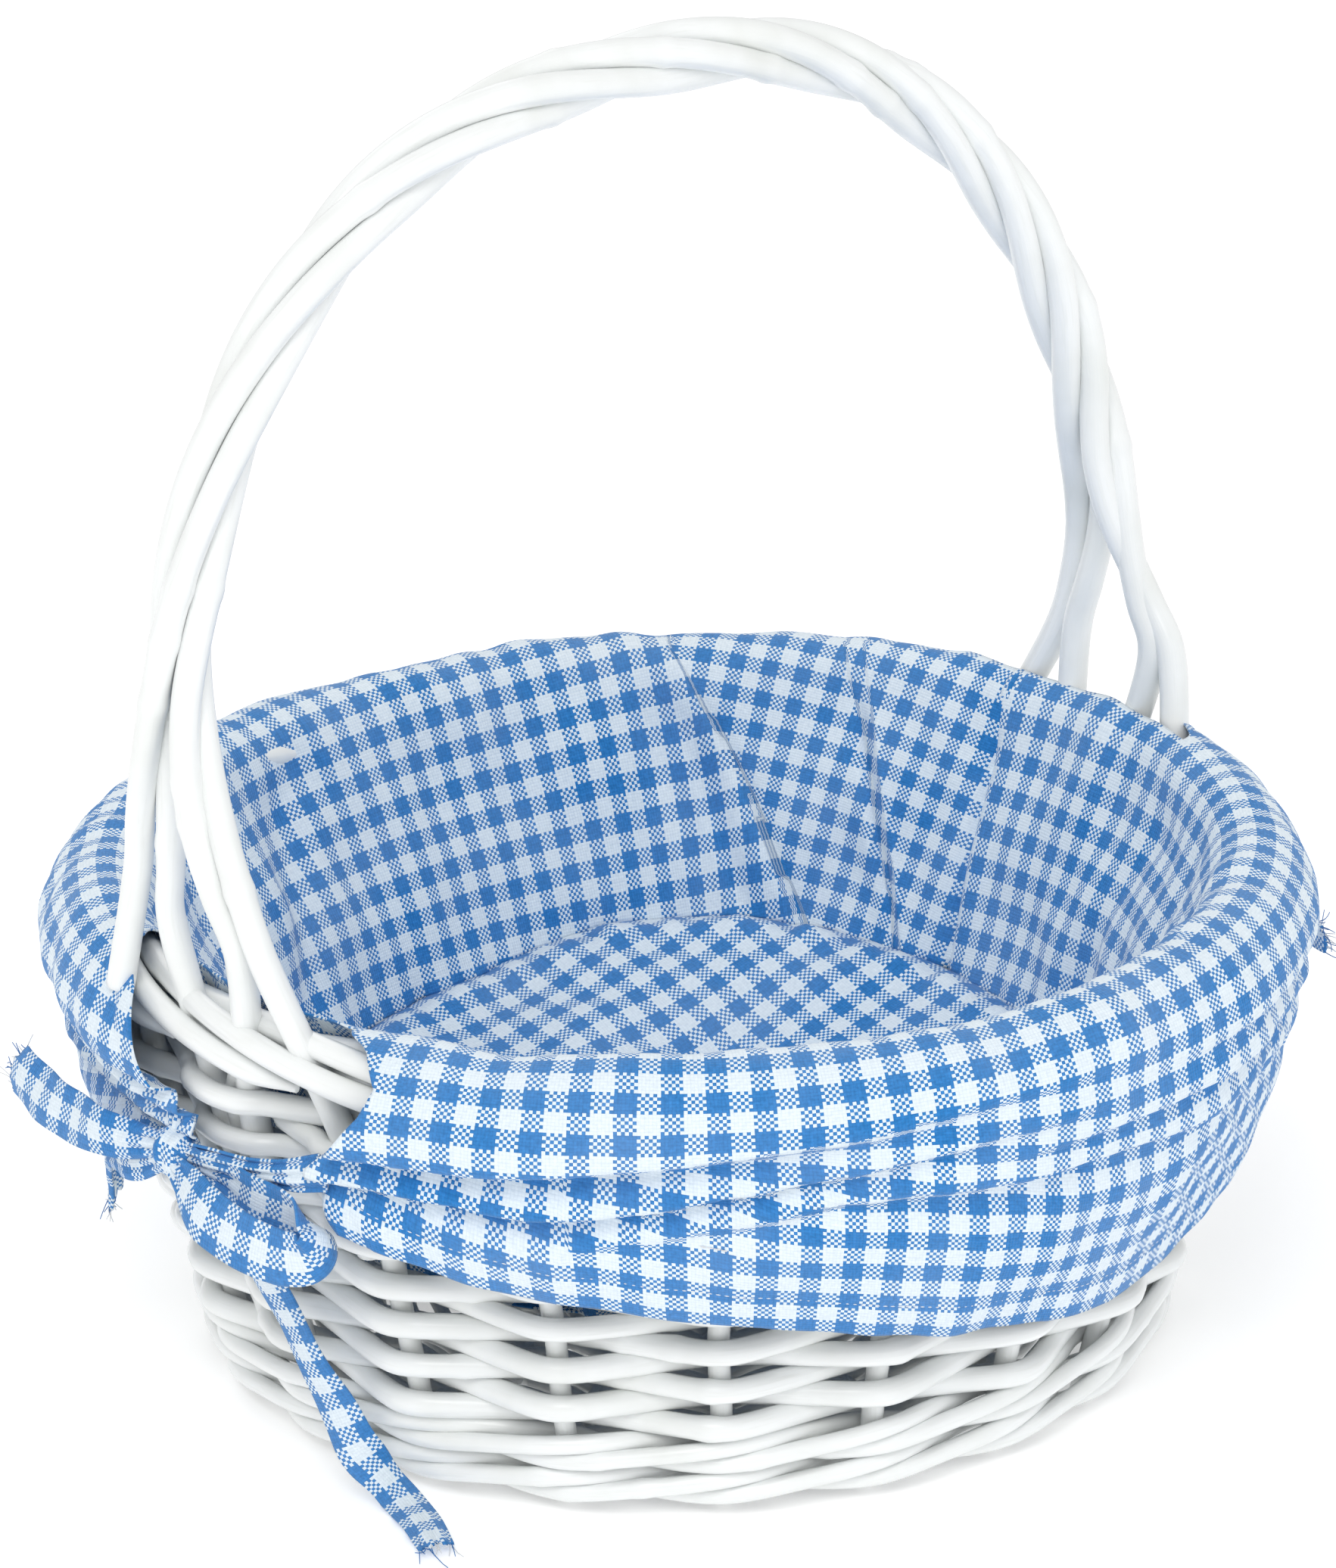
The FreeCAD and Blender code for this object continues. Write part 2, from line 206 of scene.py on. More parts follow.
def frames_along(line: Array, up: Array) -> tuple[Array, Array, Array]:
    """Tangent, side and normal of a line; the normal is the part of up square to the line."""
    tangent = unit(np.gradient(line, axis=0))
    side = unit(np.cross(tangent, np.broadcast_to(up, line.shape)))
    return tangent, side, np.cross(side, tangent)


def turn_free_frames(line: Array) -> tuple[Array, Array]:
    """Two directions square to a line that don't spin about it, carried along point by point."""
    tangent = unit(np.gradient(line, axis=0))
    start = np.array([0.0, 0.0, 1.0]) if abs(tangent[0, 2]) < 0.9 else np.array([1.0, 0.0, 0.0])
    normal = np.zeros_like(line)
    normal[0] = unit(np.cross(np.cross(tangent[0], start), tangent[0]))
    for k in range(1, len(line)):
        normal[k] = unit(normal[k - 1] - tangent[k] * (normal[k - 1] @ tangent[k]))
    return normal, np.cross(tangent, normal)


@dataclass(frozen=True)
class Willow:
    """One willow rod's own character: its taper, bumps, knots and cut ends.

    A point of its skin is centre + r (cos a n + sin a b), with r = butt-to-tip radius times
    1 + small waves + a bell at each knot. A cut slants the far end, and shrinking rings of
    (size, way ahead), told in radii, close both ends. Over its last stretch of length point
    the rod thins to point_share of its radius.
    """

    butt: float
    tip: float
    seed: int
    sides: int = 14
    knots: int = 2
    slant: float = 0.0
    point: float = 0.0
    point_share: float = 0.30
    knot_swell: float = 0.11
    knot_length: float = 2.4 * MM
    bumps: float = 0.020
    oval: float = 0.025
    cap_rings: Table = ((0.88, 0.10), (0.45, 0.14), (0.02, 0.15))

    def skin(self, name: str, line: Array) -> bpy.types.Object:
        """Builds the rod's skin along a line.

        Args:
            name: The piece's name.
            line: Centre line, evenly spaced.

        Returns:
            The rod's mesh object, with its length and its angle as an own map in metres.
        """
        rng = np.random.default_rng(self.seed)
        rows = len(line)
        length = line_length(line)
        along = np.linspace(0.0, length, rows)
        around = np.linspace(0.0, 2 * math.pi, self.sides, endpoint=False)
        radius = self.butt + (self.tip - self.butt) * along / length
        if self.point:
            full = smooth_step((length - along) / self.point) ** 0.7
            radius = radius * (self.point_share + (1.0 - self.point_share) * full)
        swell = np.zeros(rows)
        for _ in range(self.knots):
            place = rng.uniform(0.06, 0.94) * length
            swell += self.knot_swell * bell(along, place, self.knot_length)
        radius = radius * (1.0 + swell + self.bumps * waves(along, along * 0, self.seed + 3, 0.045))
        wobble = 1.0 + self.oval * np.sin(2 * around + rng.uniform(0, 6.28))[None, :]
        normal, binormal = turn_free_frames(line)
        tangent = unit(np.gradient(line, axis=0))
        ring = np.cos(around)[None, :, None] * normal[:, None, :]
        ring = ring + np.sin(around)[None, :, None] * binormal[:, None, :]
        r = radius[:, None] * wobble
        skin = line[:, None, :] + ring * r[:, :, None]
        skin[-1] += self.slant * np.cos(around)[:, None] * radius[-1] * tangent[-1]
        start = self.cap(skin[0], -tangent[0] * radius[0])
        finish = self.cap(skin[-1], tangent[-1] * radius[-1])
        whole = np.concatenate([start[::-1], skin, finish])
        total = whole.shape[0]
        ahead = np.concatenate([np.zeros(len(start)), along, np.full(len(finish), length)])
        uv = np.stack(np.broadcast_arrays(around * self.butt, ahead[:, None]), axis=-1).reshape(-1, 2)
        piece = mesh_piece(name, whole.reshape(-1, 3), grid_faces(total, self.sides, around=True), uv)
        close_ring(piece, 0, self.sides)
        close_ring(piece, (total - 1) * self.sides, self.sides, flip=True)
        return outward(piece)

    def cap(self, ring: Array, ahead: Array) -> Array:
        """The rings that close an end, shrunk towards its middle and moved ahead of it."""
        middle = ring.mean(axis=0)
        return np.stack([middle + (ring - middle) * size + ahead * way for size, way in self.cap_rings])


def close_ring(piece: bpy.types.Object, first: int, sides: int, flip: bool = False) -> None:
    """Adds one many-sided face over a ring of vertices that follow each other."""
    work = bmesh.new()
    work.from_mesh(piece.data)
    work.verts.ensure_lookup_table()
    ring = [work.verts[first + k] for k in range(sides)]
    work.faces.new(ring[::-1] if flip else ring)
    work.to_mesh(piece.data)
    work.free()


def outward(piece: bpy.types.Object) -> bpy.types.Object:
    """Points a closed piece's faces outwards."""
    work = bmesh.new()
    work.from_mesh(piece.data)
    bmesh.ops.recalc_face_normals(work, faces=work.faces)
    for face in work.faces:
        face.smooth = True
    work.to_mesh(piece.data)
    work.free()
    return piece


# ---------------------------------------------------------------- finishes


class Nodes:
    """Short way to wire a material's nodes."""

    def __init__(self, name: str) -> None:
        """Starts an empty material with its output."""
        self.material = bpy.data.materials.new(name)
        self.material.use_nodes = True
        self.tree = self.material.node_tree
        self.tree.nodes.clear()
        self.output = self.tree.nodes.new("ShaderNodeOutputMaterial")

    def add(self, kind: str, inputs: dict | None = None, **settings: object) -> bpy.types.Node:
        """Adds a node, sets its properties, and sets or links its inputs.

        Args:
            kind: Blender's node type.
            inputs: Values or output sockets, by input name or number.
            settings: Properties of the node.

        Returns:
            The node.
        """
        node = self.tree.nodes.new(kind)
        for key, value in settings.items():
            setattr(node, key, value)
        for key, value in (inputs or {}).items():
            if isinstance(value, Socket):
                self.tree.links.new(value, node.inputs[key])
            else:
                node.inputs[key].default_value = value
        return node

    def math(self, operation: str, *values: Socket | float) -> Socket:
        """One Math node's result; values are numbers or sockets."""
        return self.add("ShaderNodeMath", dict(enumerate(values)), operation=operation).outputs[0]

    def mix(self, share: Socket | float, first: Socket | Colour, second: Socket | Colour) -> Socket:
        """Colour mixed from first to second by a share."""
        node = self.add("ShaderNodeMix", data_type="RGBA")
        for socket, value in ((node.inputs[0], share), (node.inputs[6], first), (node.inputs[7], second)):
            if isinstance(value, Socket):
                self.tree.links.new(value, socket)
            else:
                socket.default_value = value
        return node.outputs[2]

    def surface(self, shader: bpy.types.Node) -> bpy.types.Material:
        """Ends the material on a shader."""
        self.tree.links.new(shader.outputs[0], self.output.inputs["Surface"])
        return self.material


@dataclass(frozen=True)
class WillowPaint:
    """White gloss paint over peeled willow: brush ridges along the rod and faint yellowing."""

    white: Colour = (0.86, 0.88, 0.88, 1.0)
    shade: Colour = (0.69, 0.71, 0.67, 1.0)
    rough: float = 0.30
    ridge: float = 0.22 * MM
    grain: tuple[float, float, float] = (900.0, 55.0, 1.0)
    blotches: float = 38.0
    pits: float = 520.0
    coat: float = 0.35
    coat_rough: float = 0.14

    def build(self) -> bpy.types.Material:
        """Makes the material from the rod's own map in metres.

        Returns:
            The material: noise stretched along the rod for the grain, broad noise for the tint,
            and a clear coat for the gloss.
        """
        n = Nodes("painted_willow")
        place = n.add("ShaderNodeTexCoord").outputs["Object"]
        own = n.add("ShaderNodeUVMap", uv_map="cloth").outputs[0]
        grain_map = n.add("ShaderNodeMapping", {"Vector": own, "Scale": self.grain}).outputs[0]
        grain = n.add("ShaderNodeTexNoise", {"Vector": grain_map, "Scale": 1.0, "Detail": 4.0}).outputs[0]
        spots = {"Vector": place, "Scale": self.blotches, "Detail": 3.0}
        blotch = n.add("ShaderNodeTexNoise", spots).outputs[0]
        pits = n.add("ShaderNodeTexNoise", {"Vector": place, "Scale": self.pits, "Detail": 2.0}).outputs[0]
        tint = n.add("ShaderNodeMapRange", {"Value": blotch, 1: 0.45, 2: 0.80, 3: 0.0, 4: 0.55}).outputs[0]
        streak = n.add("ShaderNodeMapRange", {"Value": grain, 1: 0.50, 2: 0.85, 3: 0.0, 4: 0.45}).outputs[0]
        share = n.math("MAXIMUM", tint, streak)
        colour = n.mix(share, self.white, self.shade)
        height = n.math("ADD", n.math("MULTIPLY", grain, 0.75), n.math("MULTIPLY", pits, 0.25))
        ridges = {"Height": height, "Strength": 0.55, "Distance": self.ridge}
        bump = n.add("ShaderNodeBump", ridges).outputs[0]
        rough = n.add("ShaderNodeMapRange", {"Value": blotch, 3: self.rough - 0.06, 4: self.rough + 0.12})
        shader = n.add(
            "ShaderNodeBsdfPrincipled",
            {"Base Color": colour, "Roughness": rough.outputs[0], "Normal": bump},
        )
        shader.inputs["Coat Weight"].default_value = self.coat
        shader.inputs["Coat Roughness"].default_value = self.coat_rough
        return n.surface(shader)


@dataclass(frozen=True)
class Gingham:
    """Cotton gingham woven thread by thread from the cloth's own map in metres.

    A check is six threads wide. Warp thread i and weft thread j are dyed blue in every other
    check, the warp is on top where i + j is even, and the top thread gives the colour.
    """

    name: str = "gingham_cloth"
    check: float = 5.0 * MM
    threads: int = 6
    blue: Colour = (0.016, 0.172, 0.465, 1.0)
    white: Colour = (0.80, 0.885, 0.95, 1.0)
    # Painted shade: darker blue and white for the hollows between threads, where shade falls.
    blue_hollow_shade: Colour = (0.008, 0.060, 0.20, 1.0)
    white_hollow_shade: Colour = (0.46, 0.56, 0.70, 1.0)
    faded: Colour = (0.80, 0.84, 0.90, 1.0)
    # gap is the largest share of painted shade mixed into the thread hollows.
    gap: float = 0.26
    drift: float = 0.7 * MM
    relief: float = 0.16 * MM

    def build(self) -> bpy.types.Material:
        """Makes the material.

        Returns:
            The cloth, with thread relief, painted shade in the hollows between threads, fine slub noise, a
            drift of its grain and a soft sheen.
        """
        n = Nodes(self.name)
        own = n.add("ShaderNodeUVMap", uv_map="cloth").outputs[0]
        drift = n.add("ShaderNodeTexNoise", {"Vector": own, "Scale": 70.0, "Detail": 2.0}).outputs["Color"]
        middle = {0: drift, 1: (0.5, 0.5, 0.5)}
        centred = n.add("ShaderNodeVectorMath", middle, operation="SUBTRACT").outputs[0]
        shift = n.add("ShaderNodeVectorMath", {0: centred, "Scale": self.drift}, operation="SCALE").outputs[0]
        moved = n.add("ShaderNodeVectorMath", {0: own, 1: shift}, operation="ADD").outputs[0]
        parts = n.add("ShaderNodeSeparateXYZ", {0: moved})
        pitch = self.check / self.threads
        u = n.math("DIVIDE", parts.outputs[0], pitch)
        v = n.math("DIVIDE", parts.outputs[1], pitch)
        iu, iv = n.math("FLOOR", u), n.math("FLOOR", v)
        warp_on_top = n.math("FLOORED_MODULO", n.math("ADD", iu, iv), 2.0)
        warp_blue = n.math("FLOORED_MODULO", n.math("FLOOR", n.math("DIVIDE", iu, self.threads)), 2.0)
        weft_blue = n.math("FLOORED_MODULO", n.math("FLOOR", n.math("DIVIDE", iv, self.threads)), 2.0)
        across_u = n.math("ABSOLUTE", n.math("SUBTRACT", n.math("FRACT", u), 0.5))
        across_v = n.math("ABSOLUTE", n.math("SUBTRACT", n.math("FRACT", v), 0.5))
        across = self.pick(n, warp_on_top, across_v, across_u)
        along = self.pick(n, warp_on_top, across_u, across_v)
        round_top = n.math("SUBTRACT", 1.0, n.math("MULTIPLY", n.math("POWER", across, 2.0), 3.2))
        dip = n.math("SUBTRACT", 1.0, n.math("MULTIPLY", n.math("POWER", along, 2.0), 2.4))
        height = n.math("MULTIPLY", round_top, dip)
        dyed = self.pick(n, warp_on_top, weft_blue, warp_blue)
        slub = n.add("ShaderNodeTexNoise", {"Vector": own, "Scale": 900.0, "Detail": 3.0}).outputs[0]
        fade = n.add("ShaderNodeTexNoise", {"Vector": own, "Scale": 28.0, "Detail": 3.0}).outputs[0]
        thin_blue = n.add("ShaderNodeMapRange", {"Value": slub, 1: 0.35, 2: 0.75}).outputs[0]
        blue = n.mix(thin_blue, self.blue, tuple(c * 1.35 + 0.012 for c in self.blue[:3]) + (1.0,))
        thick_white = n.add("ShaderNodeMapRange", {"Value": slub, 1: 0.30, 2: 0.7}).outputs[0]
        grey_white = tuple(c * share for c, share in zip(self.white, (0.86, 0.88, 0.90, 1.0)))
        white = n.mix(thick_white, grey_white, self.white)
        colour = n.mix(dyed, white, blue)
        # Painted shade: the low hollows between threads are darkened towards the hollow shade colours.
        low = n.add("ShaderNodeMapRange", {"Value": height, 1: 0.15, 2: 0.55, 3: self.gap, 4: 0.0}).outputs[0]
        hollow_shade = n.mix(dyed, self.white_hollow_shade, self.blue_hollow_shade)
        colour = n.mix(low, colour, hollow_shade)
        worn = n.add("ShaderNodeMapRange", {"Value": fade, 1: 0.35, 2: 0.7, 3: 0.0, 4: 0.08}).outputs[0]
        colour = n.mix(worn, colour, self.faded)
        fuzz = n.math("ADD", height, n.math("MULTIPLY", slub, 0.35))
        bump = n.add("ShaderNodeBump", {"Height": fuzz, "Strength": 0.7, "Distance": self.relief}).outputs[0]
        shader = n.add("ShaderNodeBsdfPrincipled", {"Base Color": colour, "Normal": bump})
        shader.inputs["Roughness"].default_value = 0.86
        shader.inputs["Sheen Weight"].default_value = 0.18
        shader.inputs["Sheen Roughness"].default_value = 0.5
        shader.inputs["Specular IOR Level"].default_value = 0.22
        return n.surface(shader)

    @staticmethod
    def pick(n: Nodes, choice: Socket, low: Socket, high: Socket) -> Socket:
        """low where choice is 0 and high where it is 1, as low + choice (high - low)."""
        return n.math("MULTIPLY_ADD", choice, n.math("SUBTRACT", high, low), low)


@dataclass(frozen=True)
class Thread:
    """Twisted sewing or fringe thread: diagonal ply ridges on a matt cotton."""

    name: str
    colour: Colour
    ply: float = 1400.0

    def build(self) -> bpy.types.Material:
        """Makes the material from Object coordinates.

        Returns:
            A matt thread with slanting ridges and uneven dye.
        """
        n = Nodes(self.name)
        place = n.add("ShaderNodeTexCoord").outputs["Object"]
        slanted = n.add("ShaderNodeMapping", {"Vector": place, "Rotation": (0.5, 0.7, 0.6)}).outputs[0]
        ridges = n.add("ShaderNodeTexWave", {"Vector": slanted, "Scale": self.ply, "Distortion": 1.5})
        uneven = n.add("ShaderNodeTexNoise", {"Vector": place, "Scale": 700.0, "Detail": 2.0}).outputs[0]
        dark = tuple(c * 0.72 for c in self.colour[:3]) + (1.0,)
        colour = n.mix(uneven, dark, self.colour)
        bump = n.add("ShaderNodeBump", {"Height": ridges.outputs[1], "Strength": 0.5, "Distance": 0.0001})
        shader = n.add("ShaderNodeBsdfPrincipled", {"Base Color": colour, "Normal": bump.outputs[0]})
        shader.inputs["Roughness"].default_value = 0.8
        return n.surface(shader)


@dataclass
class Finishes:
    """Every finish of the basket, made once."""

    paint: bpy.types.Material = field(init=False)
    cloth: bpy.types.Material = field(init=False)
    ribbon: bpy.types.Material = field(init=False)
    seam_thread: bpy.types.Material = field(init=False)
    blue_thread: bpy.types.Material = field(init=False)

    def __post_init__(self) -> None:
        """Builds the materials."""
        self.paint = WillowPaint().build()
        self.cloth = Gingham().build()
        self.ribbon = Gingham(name="gingham_ribbon", relief=0.18 * MM).build()
        self.seam_thread = Thread("white_thread", (0.84, 0.86, 0.88, 1.0)).build()
        self.blue_thread = Thread("blue_thread", (0.05, 0.20, 0.52, 1.0)).build()


def dress(
    piece: bpy.types.Object, finish: bpy.types.Material, replaces: Sequence[str] = ()
) -> bpy.types.Object:
    """Gives a piece its finish and its body, and hides what it stands for."""
    piece.data.materials.clear()
    piece.data.materials.append(finish)
    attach(piece, "root")
    if replaces:
        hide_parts(*replaces)
    return piece


# ---------------------------------------------------------------- willow work


@dataclass
class Wall:
    """The stake cone that the wall's rods share."""

    stakes: int = 20
    foot_radius: float = 119.0 * MM
    lean: float = 0.25
    stake_radius: float = 2.65 * MM
    tail_reach: float = 6.2 * MM
    tail_low: float = 62.0 * MM
    tail_margin: float = 2.5 * MM
    tail_blend: float = 7.0 * MM
    tail_fade: float = 6.0 * MM
    tails: dict[int, tuple[int, int]] = field(
        default_factory=lambda: {0: (1, 1), 1: (1, 0), 10: (1, 1), 11: (1, 0), 19: (0, 1)}
    )

    @property
    def step(self) -> float:
        """Angle from one stake to the next."""
        return 2 * math.pi / self.stakes

    def radius(self, z: Array | float) -> Array | float:
        """Radius of the stake circle at a height."""
        return self.foot_radius + self.lean * z

    def tail_push(self, angle: Array, z: Array) -> Array:
        """How much wider the weaving stands where handle tails lie beside a stake, 0 to 1."""
        push = np.zeros(np.broadcast(angle, z).shape)
        for index, (low, high) in self.tails.items():
            off = (angle - index * self.step + math.pi) % (2 * math.pi) - math.pi
            across = off * self.radius(z)
            reach = np.where(across < 0, low, high) * self.tail_reach + self.tail_margin
            push = np.maximum(push, 1.0 - smooth_step((np.abs(across) - reach) / self.tail_blend))
        return push * smooth_step((z - self.tail_low) / self.tail_fade)


@dataclass
class Stakes:
    """Uprights of the wall, each rolled over into its border rod at the top."""

    wall: Wall
    rim_radius: float = 148.0 * MM
    rim_z: float = 121.0 * MM
    wind: float = 6.5 * MM
    span: float = math.radians(84.0)
    turn: float = math.radians(325.0)
    butt: float = 2.75 * MM
    border_radius: float = 3.45 * MM
    point: float = 17.0 * MM
    jitter: float = 0.0025
    heights: tuple[float, ...] = (1.8, 12.0, 30.0, 50.0, 70.0, 90.0, 101.0)

    def line(self, index: int) -> Array:
        """Centre line of one stake and its border rod.

        The border stretch is a helix on the rim's ring: at share t the angle round the rim is
        the stake's plus t span, and the angle round the ring is 270 degrees minus t turn.

        Args:
            index: Stake number, counted from +X.

        Returns:
            Evenly spaced points.
        """
        rng = np.random.default_rng(100 + index)
        angle = index * self.wall.step
        heights = np.array(self.heights) * MM
        straight = polar(self.wall.radius(heights), angle + rng.normal(0, self.jitter, heights.size), heights)
        t = np.linspace(0.04, 1.0, 16)
        wind = math.radians(270.0) - self.turn * t
        reach = self.wind * (1.0 + 0.05 * np.sin(7 * t + index))
        radius = self.rim_radius + reach * np.cos(wind)
        height = self.rim_z + reach * np.sin(wind)
        rolled = polar(radius, angle + self.span * t, height)
        return curve_through(np.vstack([straight, rolled]), 120)

    def build(self, finishes: Finishes) -> list[bpy.types.Object]:
        """Builds and dresses every stake."""
        pieces = []
        for index in range(self.wall.stakes):
            rod = Willow(self.butt, self.border_radius, seed=300 + index, knots=3, point=self.point)
            piece = rod.skin(f"willow_stake_{index + 1:02d}", self.line(index))
            pieces.append(dress(piece, finishes.paint, [f"stake_{index + 1:02d}"]))
        return pieces


@dataclass
class Randing:
    """Rows of plain weaving, in front of one stake and behind the next.

    At angle a the rod's centre is off the stake circle by the reach times a wave that is 1 at a
    stake passed in front and -1 at one passed behind: asin(k cos(10 a)) / asin(k), which runs
    straight between rounded bends.
    """

    wall: Wall
    rows: int = 14
    first_z: float = 26.0 * MM
    pitch: float = 6.1 * MM
    radius: float = 3.3 * MM
    straightness: float = 0.965
    gap: float = 0.1 * MM
    tail_give: float = 0.9 * MM
    chord: float = 1.3 * MM
    rise: float = 0.45 * MM
    stray: float = 0.25 * MM

    def line(self, row: int) -> Array:
        """Centre line of one row.

        Args:
            row: Row number from the bottom.

        Returns:
            Points once round the basket, the ends side by side behind one stake.
        """
        rng = np.random.default_rng(500 + row)
        start = (row * 6 + 5) % self.wall.stakes
        if (start + row) % 2:
            start += 1
        base = start * self.wall.step
        a = base + np.linspace(0.012, 2 * math.pi - 0.012, 760)
        parity = math.pi * row
        beat = np.cos(self.wall.stakes / 2 * a + parity + math.pi)
        wave = np.arcsin(self.straightness * beat) / math.asin(self.straightness)
        z = self.first_z + self.pitch * row + self.rise * waves(a * 0.13, a * 0, 900 + row, 0.11)
        push = self.wall.tail_push(a, z)
        reach = self.wall.stake_radius + self.radius + self.gap + self.tail_give * push
        wave = wave * (1 - push) + np.sign(beat) * np.abs(wave) ** 0.3 * push
        chord = self.chord * np.sin(self.wall.stakes / 2 * a) ** 2
        r = self.wall.radius(z) + reach * wave - chord
        r = r + self.stray * waves(a * 0.13, a * 0, int(rng.integers(1000)), 0.06)
        return evenly(polar(r, a, z), 560)

    def build(self, finishes: Finishes) -> list[bpy.types.Object]:
        """Builds and dresses every row."""
        pieces = []
        for row in range(self.rows):
            rng = np.random.default_rng(40 + row)
            butt = self.radius * (1 + rng.uniform(0.0, 0.07))
            rod = Willow(butt=butt, tip=self.radius * 0.9, seed=60 + row, sides=12, knots=7, slant=0.8)
            piece = rod.skin(f"willow_rand_row_{row + 1:02d}", self.line(row))
            pieces.append(dress(piece, finishes.paint, [f"rand_row_{row + 1:02d}"]))
        return pieces


@dataclass
class Waling:
    """Two rounds of three-rod waling round the foot: in front of two stakes, behind one."""

    wall: Wall
    rounds: int = 2
    rods: int = 3
    first_z: float = 5.6 * MM
    pitch: float = 4.9 * MM
    radius: float = 2.5 * MM
    gap: float = 0.1 * MM

    def line(self, round_index: int, rod_index: int) -> Array:
        """Centre line of one waling rod, as a smooth curve through its stakes and mid-spans.

        Args:
            round_index: Which round.
            rod_index: Which of the round's rods, which sets the stake it starts behind.

        Returns:
            Points once round the basket.
        """
        low = self.first_z + 2 * self.pitch * round_index
        at_stake = np.array([low + self.pitch / 2, low, low + self.pitch])
        mid_span = np.array([low, low + self.pitch / 2, low + self.pitch])
        reach = self.wall.stake_radius + self.radius + self.gap
        out = np.array([-reach, reach * 1.05, reach * 1.05])
        count = np.arange(self.wall.stakes + 1)
        phase = count % self.rods
        next_phase = (count + 1) % self.rods
        angle = (rod_index + count) * self.wall.step
        z = np.stack([at_stake[phase], mid_span[phase]], axis=1).ravel()[:-1]
        side = np.stack([out[phase], (out[phase] + out[next_phase]) / 2], axis=1).ravel()[:-1]
        a = np.stack([angle, angle + self.wall.step / 2], axis=1).ravel()[:-1]
        a[0] += 0.03
        a[-1] -= 0.03
        return curve_through(polar(self.wall.radius(z) + side, a, z), 460)

    def build(self, finishes: Finishes) -> list[bpy.types.Object]:
        """Builds and dresses every waling rod."""
        pieces = []
        for round_index in range(self.rounds):
            for rod_index in range(self.rods):
                number = round_index * self.rods + rod_index + 1
                rod = Willow(self.radius * 1.03, self.radius * 0.92, seed=700 + number, sides=12, knots=6)
                piece = rod.skin(f"willow_wale_{number}", self.line(round_index, rod_index))
                pieces.append(dress(piece, finishes.paint, [f"wale_rod_{number}"]))
        return pieces


@dataclass
class Base:
    """Crossed sticks fanned out to spokes, and the weaving round them."""

    spokes: int = 16
    z: float = 10.5 * MM
    stick_radius: float = 2.5 * MM
    end_radius: float = 112.0 * MM
    fan_start: float = 26.0 * MM
    fan_middle: float = 70.0 * MM
    weave_radius: float = 1.95 * MM
    first: float = 32.0 * MM
    last: float = 111.0 * MM
    pitch: float = 3.9 * MM

    def sticks(self, turned: bool, finishes: Finishes) -> bpy.types.Object:
        """Four sticks side by side at the centre that fan out to a quarter of the spokes each way."""
        skins = []
        lift = self.stick_radius * (1.0 if turned else -1.0)
        turn = math.pi / 2 if turned else 0.0
        for number in range(4):
            across = (number - 1.5) * 2.02 * self.stick_radius
            fan = (number - 1.5) * 2 * math.pi / self.spokes
            half = [
                (self.end_radius * math.cos(fan), self.end_radius * math.sin(fan), self.z),
                (self.fan_middle * math.cos(fan * 0.98), self.fan_middle * math.sin(fan * 0.98), self.z),
                (self.fan_start, across, self.z + lift),
            ]
            other = [(-x, y, z) for x, y, z in reversed(half)]
            line = curve_through(np.array(half + other), 60)
            x, y, z = line.T
            spun = polar(np.hypot(x, y), np.arctan2(y, x) + turn, z)
            stick = Willow(self.stick_radius, self.stick_radius * 0.95, 800 + number, sides=10)
            skins.append(stick.skin("stick", spun))
        name = "upper" if turned else "lower"
        piece = joined(skins, f"willow_base_sticks_{name}")
        return dress(piece, finishes.paint, [f"base_sticks_{name}"])

    def weave(self, finishes: Finishes) -> bpy.types.Object:
        """Rings of fine weaving, over one spoke and under the next, as height = reach cos(8 a)."""
        skins = []
        for ring, radius in enumerate(np.arange(self.first, self.last, self.pitch)):
            a = np.linspace(0.02, 2 * math.pi - 0.02, 150) + 0.7 * ring
            reach = self.stick_radius + self.weave_radius
            beat = np.cos(self.spokes / 2 * (a + math.pi / self.spokes) + math.pi * ring + math.pi / 2)
            line = polar(float(radius), a, self.z + reach * beat)
            rod = Willow(self.weave_radius, self.weave_radius, 850 + ring, sides=8, knots=1)
            skins.append(rod.skin("ring", line))
        piece = joined(skins, "willow_base_weave")
        return dress(piece, finishes.paint, ["base_weave"])

    def build(self, finishes: Finishes) -> list[bpy.types.Object]:
        """Builds and dresses the base."""
        return [self.sticks(False, finishes), self.sticks(True, finishes), self.weave(finishes)]


def joined(pieces: list[bpy.types.Object], name: str) -> bpy.types.Object:
    """One object holding the meshes of several, which are removed."""
    work = bmesh.new()
    for piece in pieces:
        work.from_mesh(piece.data)
    mesh = bpy.data.meshes.new(name)
    work.to_mesh(mesh)
    work.free()
    for piece in pieces:
        bpy.data.objects.remove(piece)
    whole = bpy.data.objects.new(name, mesh)
    bpy.context.scene.collection.objects.link(whole)
    return whole


